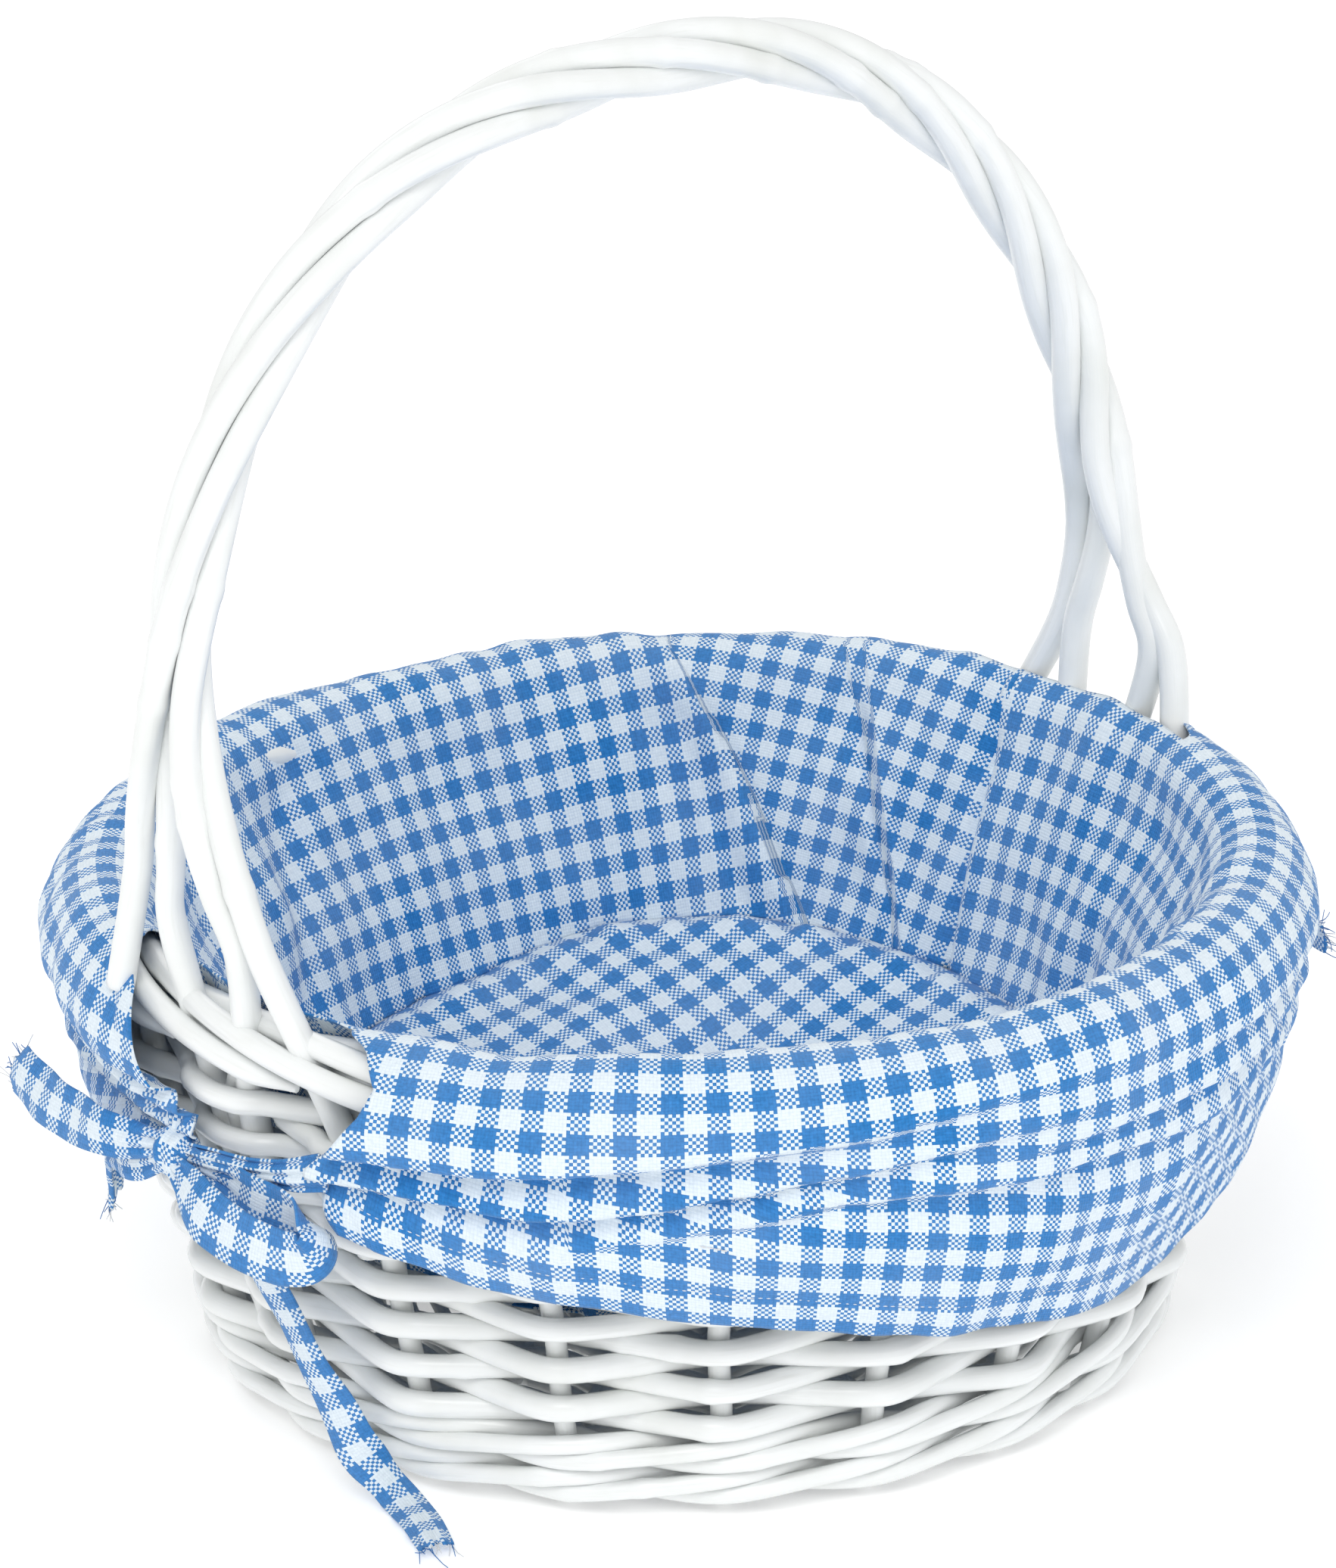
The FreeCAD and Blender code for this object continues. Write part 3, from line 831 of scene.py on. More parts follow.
@dataclass
class HoopHandle:
    """Four rods twisted into one hoop and splayed at the feet.

    The centre line is a superellipse: at angle s, x = -a |cos s|^(2/n) and z = h |sin s|^(2/n),
    with a little bulge at the shoulders and a lean towards +Y at the top.
    """

    wall: Wall
    foot_x: float = 148.2 * MM
    foot_z: float = 120.8 * MM
    rise: float = 215.7 * MM
    power: float = 2.52
    bulge: float = 11.0 * MM
    lean: float = 14.0 * MM
    rod: float = 3.85 * MM
    twist_radius: float = 5.3 * MM
    twist_rate: float = 1310.0
    twist_gain: float = 1400.0
    splay: float = 100.0 * MM
    phases: tuple[float, ...] = (218.0, 128.0, 38.0, -52.0)
    left_y: tuple[float, ...] = (29.0, 15.0, -34.0, -24.0)
    right_y: tuple[float, ...] = (22.0, -36.0, -28.0, 13.0)
    free_end: tuple[float, ...] = (-157.0, 29.5, 127.0)
    left_tails: tuple[tuple[int, int] | None, ...] = (None, (0, 1), (-1, 1), (0, -1))
    right_tails: tuple[tuple[int, int], ...] = ((1, -1), (-1, 1), (0, -1), (0, 1))
    tail_heights: tuple[float, ...] = (98.0, 82.0, 68.0)

    def centre(self) -> Array:
        """Evenly spaced points of the hoop's centre line, from the left foot to the right."""
        s = np.linspace(0.0, math.pi, 4001)
        level = np.abs(np.sin(s)) ** (2 / self.power)
        flat = np.abs(np.cos(s)) ** (2 / self.power)
        side = np.where(np.cos(s) > 0, -1.0, 1.0)
        x = side * (self.foot_x * flat + self.bulge * 4 * level * (1 - level))
        return evenly(np.stack([x, self.lean * level, self.foot_z + self.rise * level], axis=1), 300)

    def tail(self, side: Side, number: int) -> Array:
        """Points of one rod's tail beside its stake, from the border down."""
        tails = self.left_tails if side is Side.LEFT else self.right_tails
        place, way = tails[number]
        z = np.array(self.tail_heights) * MM
        radius = self.wall.radius(z)
        offset = place * self.wall.step + way * self.wall.tail_reach / radius
        middle = 0.0 if side is Side.RIGHT else math.pi
        return polar(radius, middle + side.value * offset, z)

    def line(self, number: int) -> Array:
        """Centre line of one rod.

        Off the hoop's centre it stands by twist_radius at the angle phase + rate l + gain l^2 in
        degrees, l being the length along the hoop in metres, and it blends by smooth steps into
        its own place at each foot.

        Args:
            number: Which rod, 0 to 3.

        Returns:
            Evenly spaced points from end to end.
        """
        centre = self.centre()
        length = line_length(centre)
        along = np.linspace(0.0, length, len(centre))
        tangent = unit(np.gradient(centre, axis=0))
        outward_way = unit(np.cross(tangent, np.array([0.0, 1.0, 0.0])))
        outward_way = outward_way * np.sign(outward_way[len(centre) // 2, 2])
        angle = np.radians(self.phases[number] + self.twist_rate * along + self.twist_gain * along**2)
        twist = np.cos(angle)[:, None] * outward_way
        twist = twist + np.sin(angle)[:, None] * np.array([0.0, -1.0, 0.0])
        left = smooth_step(1 - along / self.splay)
        right = smooth_step(1 - (length - along) / self.splay)
        keep = (1 - left - right)[:, None]
        points = centre + twist * self.twist_radius * keep
        points[:, 1] += (left * self.left_y[number] + right * self.right_y[number]) * MM
        body = points[14:-14:6]
        right_tail = self.tail(Side.RIGHT, number)
        if self.left_tails[number] is None:
            return curve_through(np.vstack([np.array([self.free_end]) * MM, body[1:], right_tail]), 420)
        return curve_through(np.vstack([self.tail(Side.LEFT, number)[::-1], body, right_tail]), 420)

    def build(self, finishes: Finishes) -> list[bpy.types.Object]:
        """Builds and dresses the four rods."""
        pieces = []
        for number in range(len(self.phases)):
            rod = Willow(self.rod * 0.98, self.rod * 1.02, seed=20 + number, sides=20, knots=7, slant=0.5)
            piece = rod.skin(f"willow_handle_rod_{number + 1}", self.line(number))
            pieces.append(dress(piece, finishes.paint, [f"handle_rod_{number + 1}"]))
        return pieces


# ---------------------------------------------------------------- cloth work


def thicken(piece: bpy.types.Object, thickness: float, offset: float = 0.0) -> None:
    """Gives a sheet its thickness with a live Solidify."""
    solid = piece.modifiers.new("thickness", "SOLIDIFY")
    solid.thickness = thickness
    solid.offset = offset


@dataclass(frozen=True)
class Crease:
    """A pulled fold of the flap: a valley that runs along a line of (angle, height) places.

    Its lip stands over it: with off = z - line, the cloth sinks by 1.1 depth exp(-(off / reach)^2),
    where reach is the width times lip above the line and times foot below it.
    """

    line: tuple[tuple[float, float, float], ...]
    width: float
    lip: float = 0.45
    foot: float = 1.5
    gain: float = 1.1

    def middle(self, local: Array) -> Array:
        """Height of the valley at an angle in degrees."""
        angle, height, _ = np.array(self.line).T
        return np.interp(local, angle, height) * MM

    def depth_at(self, local: Array) -> Array:
        """Depth of the valley in millimetres at an angle in degrees."""
        angle, _, depth = np.array(self.line).T
        return np.interp(local, angle, depth, left=0.0, right=0.0)

    def sink(self, local: Array, z: Array) -> Array:
        """Depth of the fold, in metres, at an angle in degrees and a height in metres."""
        off = z - self.middle(local)
        reach = np.where(off > 0, self.lip, self.foot) * self.width
        return self.gain * self.depth_at(local) * MM * bell(off, 0.0, reach)

    def passed(self, local: Array, z: Array) -> Array:
        """Share of the fold's hidden cloth met above a height: 0 over the lip, 1 under it."""
        return smooth_step((self.middle(local) - z) / (0.5 * self.width) + 1.2)


@dataclass(frozen=True)
class Pleat:
    """A tuck of the inner wall along a leaning line, with cloth hidden under its edge.

    At height z the line's angle is bottom + (top - bottom) (z - low) / (high - low). The cloth's
    small step at the line, of height edge, dies out over fade degrees.
    """

    top: float
    bottom: float
    hidden: float
    depth: float
    width: float
    edge: float = 0.0
    low: float = 65.0 * MM
    high: float = 135.0 * MM
    fade: float = 3.0

    def line(self, z: Array) -> Array:
        """Angle of the tuck in degrees at a height in metres."""
        return self.bottom + (self.top - self.bottom) * (z - self.low) / (self.high - self.low)

    def push(self, local: Array, z: Array) -> Array:
        """How far the cloth is pushed into the basket: a soft valley, and a step at the edge."""
        off = local - self.line(z)
        step = self.edge * np.exp(-np.maximum(off, 0.0) / self.fade) * (off > 0)
        return step - self.depth * bell(off, 0.0, self.width)


@dataclass(frozen=True)
class Ripple:
    """A seeded unevenness of the cloth: height times waves of the arc and the section's length.

    The two are first multiplied by across and along; along 0 makes upright folds.
    """

    height: float
    across: float
    along: float
    seed: int
    length: float
    count: int = 7

    def at(self, arc: Array, s: Array, seed: int) -> Array:
        """Its height at an arc and a length of the section, for a half's seed."""
        waved = waves(arc * self.across, s * self.along, seed + self.seed, self.length, self.count)
        return self.height * waved


def outward_of(points: Array) -> Array:
    """Level directions away from the basket's axis at some points."""
    return unit(points * np.array([1.0, 1.0, 0.0]))


def read_off(table: Table, x: Array | float) -> Array:
    """Value of a table of (place, value) pairs at x, straight between its places."""
    places, values = np.array(table).T
    return np.interp(x, places, values)


@dataclass
class Liner:
    """The cloth liner: two halves from the floor seam over the border to a hemmed flap, and a floor.

    A half is one sheet on a grid of angle and height along its section. The section is a smooth
    curve of (radius, height) points, and folds and tucks push it along its normal. Angles are
    told from the middle of the half's flap, so the two halves are one shape turned half round.
    """

    section: Table = (
        (109.0, 52.0), (113.0, 63.0), (121.0, 88.0), (128.5, 104.0), (133.5, 114.0), (137.5, 124.0),
        (141.5, 130.8), (148.0, 134.0), (155.5, 132.2), (161.5, 126.0), (165.2, 115.5), (164.3, 102.0),
        (159.5, 86.0), (154.5, 72.0), (149.5, 60.0), (144.5, 50.0), (141.0, 42.0), (137.5, 30.0))
    span: tuple[float, float] = (-80.6, 100.6)
    seam_deg: tuple[float, float] = (-80.0, 100.0)
    flap: tuple[float, float] = (-72.5, 73.0)
    low_edge: Table = (
        (0.405, -72.5), (0.44, -72.0), (0.476, -69.2), (0.519, -67.4), (0.554, -68.3), (0.607, -71.5),
        (0.649, -75.0), (0.70, -73.5), (0.76, -71.5), (1.0, -69.0))
    high_edge: Table = (
        (0.41, 73.0), (0.46, 77.5), (0.50, 82.5), (0.57, 86.0), (0.66, 90.0), (0.72, 90.0),
        (0.80, 88.0), (1.0, 84.0))
    hem_line: Table = (
        (-75.0, 84.0), (-71.0, 82.0), (-66.0, 79.0), (-55.0, 73.5), (-44.0, 68.5), (-33.0, 63.6),
        (-22.0, 56.6), (-9.0, 49.5), (0.0, 43.5), (9.0, 41.5), (18.0, 45.0), (30.0, 50.0),
        (45.0, 57.0), (60.0, 66.0), (75.0, 78.0), (88.0, 90.0))
    floor_line: Table = (
        (0.0, 56.0), (12.0, 59.0), (28.0, 62.0), (42.0, 64.0), (61.0, 63.0), (81.0, 55.0), (110.0, 49.0),
        (150.0, 44.0), (190.0, 45.0), (240.0, 47.0), (300.0, 50.0), (340.0, 53.0), (360.0, 56.0))
    lean: Table = (
        (-80.0, 0.0), (-74.0, 0.0), (-61.2, 12.0), (-58.9, 12.6), (-44.0, 17.5), (-39.0, 19.0),
        (-36.2, 12.4), (-15.0, 0.0), (0.0, -8.0), (8.6, -14.0), (25.0, -10.5), (38.0, -4.3),
        (66.0, -8.4), (85.0, 0.0))
    ring: float = 145.0 * MM
    thickness: float = 0.55 * MM
    columns: int = 431
    wall_rows: int = 46
    flap_rows: int = 82
    hem_depth: float = 10.5 * MM
    side_hem: float = 7.5 * MM
    tack_deg: float = -37.2
    tack_up: float = 25.0 * MM
    creases: tuple[Crease, ...] = (
        Crease(((-78, 104, 6.0), (-60, 105, 6.5), (-48, 108, 6.0), (-36, 111.5, 4.8), (-22, 115, 3.8),
                (-12, 117.5, 3.2), (-2, 118, 2.4), (16, 117, 0.8)), 4.0 * MM),
        Crease(((-78, 95, 5.6), (-60, 95.5, 6.0), (-53, 94.5, 5.4), (-43, 97, 4.8), (-31, 103, 4.0),
                (-22, 105.5, 3.2), (-12, 108, 2.4), (0, 109, 1.0)), 3.4 * MM),
        Crease(((-50, 86, 0.4), (-26, 97, 2.4), (-14, 94, 3.2), (0, 92, 3.0), (12, 90, 2.2),
                (36, 89, 0.8)), 3.8 * MM),
        Crease(((-16, 102, 0.4), (2, 101, 2.4), (18, 100.5, 3.2), (40, 100, 3.8), (62, 99, 4.6),
                (94, 98, 5.4)), 3.4 * MM),
        Crease(((2, 113, 0.4), (26, 111, 3.0), (50, 109, 3.6), (70, 107, 4.4), (94, 105, 5.2)), 3.2 * MM),
        Crease(((26, 84, 0.4), (50, 88, 2.4), (70, 91, 3.2), (94, 92, 3.6)), 3.4 * MM),
    )
    pleats: tuple[Pleat, ...] = (
        Pleat(-36.2, -47.8, 0.0, 5.6 * MM, 3.0),
        Pleat(-39.0, -57.0, 6.4 * MM, 1.4 * MM, 1.2, 2.6 * MM),
        Pleat(-58.9, -70.8, 3.4 * MM, 2.6 * MM, 1.0, 1.6 * MM),
        Pleat(-61.2, -72.6, 2.6 * MM, -1.2 * MM, 0.8, 0.0),
        Pleat(8.6, 21.9, 0.0, 4.2 * MM, 4.0),
        Pleat(38.0, 42.0, 2.6 * MM, 1.4 * MM, 2.0, 0.8 * MM),
        Pleat(66.0, 74.0, 0.0, 2.4 * MM, 3.4),
    )
    broad: Ripple = Ripple(0.9 * MM, 1.0, 1.4, 0, 75 * MM)
    fine: Ripple = Ripple(0.35 * MM, 1.6, 1.0, 5, 28 * MM)
    inner_turn: Ripple = Ripple(0.5 * MM, 1.0, 0.0, 9, 30 * MM, 5)
    outer_turn: Ripple = Ripple(0.5 * MM, 1.0, 0.25, 21, 60 * MM, 5)
    upright: Ripple = Ripple(1.1 * MM, 1.0, 0.35, 41, 42 * MM, 5)
    pucker: Ripple = Ripple(0.8 * MM, 1.0, 0.0, 33, 11 * MM, 6)
    notch_share: float = 0.420
    notch_sway: float = 0.015
    notch_round: float = 0.028
    puff: float = 1.8 * MM
    seam_dip: float = 3.2 * MM
    foot_rise: float = 2.4 * MM
    hem_raise: float = 0.45 * MM
    hem_groove: float = 0.5 * MM
    climb_deg: tuple[float, float] = (-11.0, 12.0)
    climb_reach: float = 75.0
    seamed: float = 9.0
    cut_length: float = 0.200
    floor_cut: float = 0.220
    floor_grid: tuple[int, int] = (80, 300)
    floor_low: float = 46.0 * MM
    floor_turn_deg: float = 1.5

    def leant(self, q: Array, t: Array) -> Array:
        """Angle of column q at share t of the wall: columns lean with the tucks they stand beside."""
        return q - read_off(self.lean, q) * (1 - t)

    def section_line(self) -> Array:
        """The section as 400 evenly spaced (radius, height) points, in metres."""
        return curve_through(np.array([(r, 0.0, z) for r, z in self.section]) * MM, 400)[:, [0, 2]]

    @property
    def total(self) -> float:
        """Length of the whole section, from the floor seam to the lowest place a hem can reach."""
        return line_length(self.section_line())

    def notch(self, local: Array, middle: Half) -> Array:
        """Length along the section where the cloth stops beside a flap, at the handle's feet."""
        turn = np.radians(local + middle.value)
        off = local - self.flap[0]
        rounded = self.notch_round * bell(np.minimum(off, 0.0), 0.0, 3.5) * (1 - smooth_step(off / 20.0))
        return (self.notch_share + self.notch_sway * np.cos(turn) + rounded) * self.total

    def flap_angle(self, q: Array, s: Array, middle: Half) -> Array:
        """Angle of the flap's column q at a length s: its two sides follow the edges' tables."""
        share = s / self.total
        low = (read_off(self.low_edge, share) - self.flap[0]) * smooth_step((-q - 40.0) / 32.5)
        high = (read_off(self.high_edge, share) - self.flap[1]) * smooth_step((q - 35.0) / 38.0)
        inside = (q >= self.flap[0] - 1e-6) & (q <= self.flap[1] + 1e-6)
        opened = smooth_step((s - self.notch(q, middle)) / (0.035 * self.total))
        return q + np.where(inside, low + high, 0.0) * opened

    def hem_length_at(self, local: Array | float) -> Array:
        """Length along the section of the hem's even line at an angle."""
        line = self.section_line()
        outer = np.linspace(0.0, 1.0, len(line)) > 0.55
        share = np.linspace(0.0, self.total, len(line))[outer]
        return np.interp(-read_off(self.hem_line, local) * MM, -line[outer, 1], share)

    def hem(self, q: Array, middle: Half) -> Array:
        """Length along the section at which column q ends, from the hem's height at its angle."""
        line = self.section_line()
        share = np.linspace(0.0, self.total, len(line))
        outer = share > self.total * 0.55
        s = np.full(q.shape, 0.8 * self.total)
        for _ in range(6):
            angle = self.flap_angle(q, s, middle)
            stray = 0.5 * MM * waves(np.radians(angle) * 0.15, q * 0, 31, 0.07)
            wanted = read_off(self.hem_line, angle) * MM + stray
            s = np.interp(-wanted, -line[outer, 1], share[outer])
        return s

    def surface(self, local: Array, s: Array, middle: Half) -> Array:
        """Places of the cloth at an angle and a length along the section.

        Args:
            local: Angle from the middle of the half's flap, in degrees.
            s: Length along the section from the floor seam, in metres; below 0 it runs straight on.
            middle: Which half, so that its small folds are its own.

        Returns:
            Points, shaped like the inputs with a last axis of 3.
        """
        line = self.section_line()
        share = np.linspace(0.0, self.total, len(line))
        slope = unit(np.gradient(line, axis=0))
        slope_r, slope_z = np.interp(s, share, slope[:, 0]), np.interp(s, share, slope[:, 1])
        below = np.minimum(s, 0.0)
        radius = np.interp(s, share, line[:, 0]) + below * slope[0, 0]
        height = np.interp(s, share, line[:, 1]) + below * slope[0, 1]
        part = s / self.total
        outside = smooth_step((part - 0.50) / 0.12)
        inside = 1.0 - smooth_step((part - 0.30) / 0.10)
        lift = self.ripples(local, s, middle, inside)
        # Above the pulled folds the cloth puffs out.
        puff = self.puff * bell(height, 117 * MM, 7 * MM) * bell(np.abs(local), 60.0, 30.0)
        lift = lift + outside * (puff - sum(crease.sink(local, height) for crease in self.creases))
        # The tucks fade where the wall meets the floor.
        above = height - read_off(self.floor_line, (local + middle.value) % 360.0) * MM
        tucks = sum(pleat.push(local, height) for pleat in self.pleats)
        tucks = tucks * (1 - 0.8 * np.exp(-above / (7 * MM)))
        seam = np.maximum(np.minimum(local - self.seam_deg[0], self.seam_deg[1] - local), 0.0)
        lift = lift + inside * (tucks * self.own(local, part) - self.seam_dip * np.exp(-seam / 0.8))
        # At the right foot the cloth stands up against the handle's rods.
        foot = bell((local + middle.value + 180.0) % 360.0 - 180.0, 0.0, 26.0)
        height = height + self.foot_rise * foot * bell(part, 0.43, 0.06)
        return polar(radius - lift * slope_z, np.radians(local + middle.value), height + lift * slope_r)

    def own(self, local: Array, part: Array) -> Array:
        """How free the cloth is, 0 to 1: held at the side seams inside, so that the halves meet there."""
        low, high = self.span
        free = smooth_step((local - low) / self.seamed) * smooth_step((high - local) / self.seamed)
        return np.where(part > 0.5, 1.0, free)

    def ripples(self, local: Array, s: Array, middle: Half, inside: Array) -> Array:
        """Small folds along the cloth's normal.

        Broad and fine ripples run everywhere. Bells over the section place one more at each turn
        of the border, upright folds hang inside, and the floor seam puckers the wall's foot.

        Args:
            local: Angle from the middle of the half's flap, in degrees.
            s: Length along the section, in metres.
            middle: Which half, which sets the seed.
            inside: 1 on the inner wall, 0 from the border on.

        Returns:
            Heights in metres.
        """
        seed = 11 if middle is Half.FRONT else 12
        arc, part = np.radians(local) * self.ring, s / self.total
        lift = self.broad.at(arc, s, seed) + self.fine.at(arc, s, seed)
        lift = lift + self.inner_turn.at(arc, s, seed) * bell(part, 0.33, 0.10)
        lift = lift + self.outer_turn.at(arc, s, seed) * bell(part, 0.62, 0.10)
        hung = self.upright.at(arc, s, seed) * smooth_step(s / (30 * MM))
        hung = hung + self.pucker.at(arc, s, seed) * np.exp(-np.maximum(s, 0) / (7 * MM))
        return (lift + hung * inside) * self.own(local, part)

    def half(self, middle: Half, finishes: Finishes) -> bpy.types.Object:
        """Builds one half of the liner.

        Args:
            middle: Which half.
            finishes: The finishes.

        Returns:
            The sheet, dressed.
        """
        q = np.linspace(self.span[0], self.span[1], self.columns)
        flap = (q >= self.flap[0]) & (q <= self.flap[1])
        rows = np.concatenate([np.linspace(0, 1, self.wall_rows), 1 + np.linspace(0, 1, self.flap_rows)[1:]])
        t = rows[:, None]
        notch = self.notch(q, middle)[None, :]
        hem = self.hem(q, middle)[None, :]
        foot = self.leant(q, np.zeros(1))
        start = (read_off(self.floor_line, (foot + middle.value) % 360.0) - self.section[0][1]) * MM / 0.945
        start = start[None, :]
        s = np.where(t <= 1, start + t * (notch - start), notch + (t - 1) * (hem - notch))
        local = np.where(t <= 1, self.leant(q[None, :], t), self.flap_angle(q[None, :], s, middle))
        points = self.surface(local, s, middle)
        points = points + self.hem_swell(q[None, :], local, s, hem, t)[:, :, None] * outward_of(points)
        uv = self.cloth_map(local, s, points[:, :, 2], middle)
        faces = grid_faces(len(rows), self.columns)
        row_of, column_of = faces[:, 0] // self.columns, faces[:, 0] % self.columns
        keep = (row_of < self.wall_rows - 1) | (flap[column_of] & flap[column_of + 1])
        used = np.unique(faces[keep])
        renumber = np.full(len(rows) * self.columns, -1)
        renumber[used] = np.arange(len(used))
        name = f"gingham_liner_{middle.name.lower()}"
        piece = mesh_piece(name, points.reshape(-1, 3)[used], renumber[faces[keep]], uv.reshape(-1, 2)[used])
        thicken(piece, self.thickness)
        dress(piece, finishes.cloth, [f"liner_{middle.name.lower()}"])
        flat = (sheet_area(piece) / self.cut_length, self.cut_length)
        return piece

    def hem_swell(self, q: Array, local: Array, s: Array, hem: Array, t: Array) -> Array:
        """Extra thickness of the turned-under hems, with a groove along their stitches.

        It is hem_raise from an edge to the hem's depth, less a bell of hem_groove at that depth.
        """
        low = (local - read_off(self.low_edge, s / self.total)) * math.pi / 180 * self.ring
        high = (read_off(self.high_edge, s / self.total) - local) * math.pi / 180 * self.ring
        swell = np.zeros(np.broadcast(q, s).shape)
        for distance, depth in ((hem - s, self.hem_depth), (low, self.side_hem), (high, self.side_hem)):
            band = self.hem_raise * (1 - smooth_step((distance - depth) / (0.8 * MM)))
            groove = self.hem_groove * bell(distance, depth + 0.3 * MM, 0.8 * MM)
            swell = np.maximum(swell, band) - groove
        flap = (q >= self.flap[0]) & (q <= self.flap[1])
        return np.where((t > 1) & flap, swell, 0.0) * smooth_step((t - 1) / 0.04)

    def cloth_map(self, local: Array, s: Array, z: Array, middle: Half) -> Array:
        """Texture places in metres.

        Across is the arc length at the rim and along is the length of the section. Inside, the
        rows climb by their panel's slope T: along gains T times the arc from the panel's edge and
        across loses T times the height, and each tuck hides its own width of cloth. Outside, the
        pulled folds share what the flap is shorter than at its middle, so its rows follow the hem.

        Args:
            local: Angle from the flap's middle, in degrees.
            s: Length along the section, in metres.
            z: Height, in metres.
            middle: Which half.

        Returns:
            The two texture coordinates on the last axis.
        """
        arc = np.radians(local) * self.ring
        border = self.pleats[1].line(z)
        away = np.radians(local - border) * self.ring
        low, high = np.tan(np.radians(self.climb_deg))
        calm = np.exp(-np.maximum(local - border, 0) / self.climb_reach)
        climb = np.where(local > border, high * calm, low)
        over = 1.0 if middle is Half.BACK else 0.0
        u = arc - climb * (s - 0.4 * self.total) * over
        v = s + climb * away * over
        for pleat in self.pleats:
            u = u + pleat.hidden * over * (local > pleat.line(z) + 0.15)
        spare = (self.hem_length_at(9.0) - self.hem_length_at(local)) * (s > 0.5 * self.total)
        depths = np.array([crease.depth_at(local) for crease in self.creases])
        weights = depths / np.maximum(depths.sum(axis=0), 0.3)
        for crease, weight in zip(self.creases, weights):
            v = v + spare * weight * crease.passed(local, z)
        return np.stack([u + 0.5, v + 0.5], axis=-1)

    def floor(self, finishes: Finishes) -> bpy.types.Object:
        """The raised floor panel: a disc in polar rings, with soft wrinkles and its own grain.

        At share r of the radius its height runs from floor_low at the centre to the floor seam's
        at the wall by a smooth step, so the side that is pushed up climbs towards its seam.
        """
        rings, spokes = self.floor_grid
        share = (np.linspace(0.002, 1.0, rings) ** 0.9)[:, None]
        a = np.linspace(0, 2 * math.pi, spokes, endpoint=False)[None, :]
        seam = read_off(self.floor_line, np.degrees(a)) * MM
        rim = (self.section[0][0] * MM + (seam - self.section[0][1] * MM) * 0.345) + 0.6 * MM
        x, y = share * rim * np.cos(a), share * rim * np.sin(a)
        z = self.floor_low + (seam - self.floor_low) * smooth_step((share - 0.40) / 0.55)
        z = z + 1.6 * MM * waves(x, y, 5, 0.09) * (1 - share**6)
        z = z + 0.7 * MM * waves(x, y, 6, 0.03) * (1 - share**8)
        # The seam gathers a low puckered roll round the edge.
        z = z + 2.2 * MM * bell(share, 0.93, 0.05) * (1 + 0.5 * waves(a * 0.11, a * 0, 44, 0.012, 6))
        turn = math.radians(self.floor_turn_deg)
        u, v = x * math.cos(turn) - y * math.sin(turn), x * math.sin(turn) + y * math.cos(turn)
        uv = np.stack([u, v], axis=-1).reshape(-1, 2) + 0.5
        points = np.stack([x, y, z], axis=-1).reshape(-1, 3)
        piece = mesh_piece("gingham_liner_floor", points, grid_faces(rings, spokes, True), uv)
        close_ring(piece, 0, spokes)
        thicken(piece, self.thickness)
        dress(piece, finishes.cloth, ["liner_floor"])
        sheet_area(piece)
        return piece

    def stitches(self, middle: Half, finishes: Finishes) -> bpy.types.Object:
        """The line of hem stitches: short rods laid on the flap a hem's depth above its edge."""
        q = np.linspace(self.flap[0] + 2.0, self.flap[1] - 2.0, 190)
        s = self.hem(q, middle) - self.hem_depth - 0.3 * MM
        here = self.surface(self.flap_angle(q, s, middle), s, middle)
        out = outward_of(here)
        way = unit(np.gradient(here, axis=0))
        name = f"hem_stitches_{middle.name.lower()}"
        return self.laid_stitches(name, here + out * 0.25 * MM, way, out, finishes)

    def tack(self, finishes: Finishes) -> bpy.types.Object:
        """A loose white tack on the front flap, a few stitches long, between two folds."""
        local = self.tack_deg + np.linspace(-0.9, 0.9, 4)
        s = self.hem_length_at(local) - self.tack_up
        here = self.surface(local, s, Half.FRONT)
        out = outward_of(here)
        way = unit(np.gradient(here, axis=0))
        return self.laid_stitches("tack_front", here + out * 0.5 * MM, way, out, finishes)

    @staticmethod
    def laid_stitches(name: str, here: Array, way: Array, out: Array, finishes: Finishes) -> bpy.types.Object:
        """One small rounded stitch at each place, as a capsule of 6 sides and 5 rings.

        Args:
            name: The piece's name.
            here: The stitches' middles.
            way: The direction each lies in.
            out: The direction each stands out of the cloth.
            finishes: The finishes.

        Returns:
            One piece that holds every stitch of the line.
        """
        rings = np.array([-1.0, -0.72, 0.0, 0.72, 1.0])
        swell = np.array([0.15, 0.8, 1.0, 0.8, 0.15])
        around = np.linspace(0, 2 * math.pi, 6, endpoint=False)
        down = np.cross(way, out)
        along = rings[None, :, None, None] * way[:, None, None, :] * 0.85 * MM
        dip = -(rings[None, :, None, None] ** 2) * out[:, None, None, :] * 0.22 * MM
        ring = np.cos(around)[None, None, :, None] * out[:, None, None, :]
        ring = ring + np.sin(around)[None, None, :, None] * down[:, None, None, :]
        body = here[:, None, None, :] + along + dip + ring * swell[None, :, None, None] * 0.2 * MM
        one = grid_faces(5, 6, True)
        caps = np.array([[0, 1, 2, 3], [0, 3, 4, 5], [24, 27, 26, 25], [24, 29, 28, 27]])
        block = np.vstack([one, caps])
        faces = (block[None, :, :] + (np.arange(len(here)) * 30)[:, None, None]).reshape(-1, 4)
        piece = outward(mesh_piece(name, body.reshape(-1, 3), faces))
        return dress(piece, finishes.seam_thread)

    def build(self, finishes: Finishes) -> list[bpy.types.Object]:
        """Builds the floor, both halves and their stitches."""
        pieces = [self.floor(finishes)]
        for middle in Half:
            pieces.append(self.half(middle, finishes))
            pieces.append(self.stitches(middle, finishes))
        pieces.append(self.tack(finishes))
        return pieces


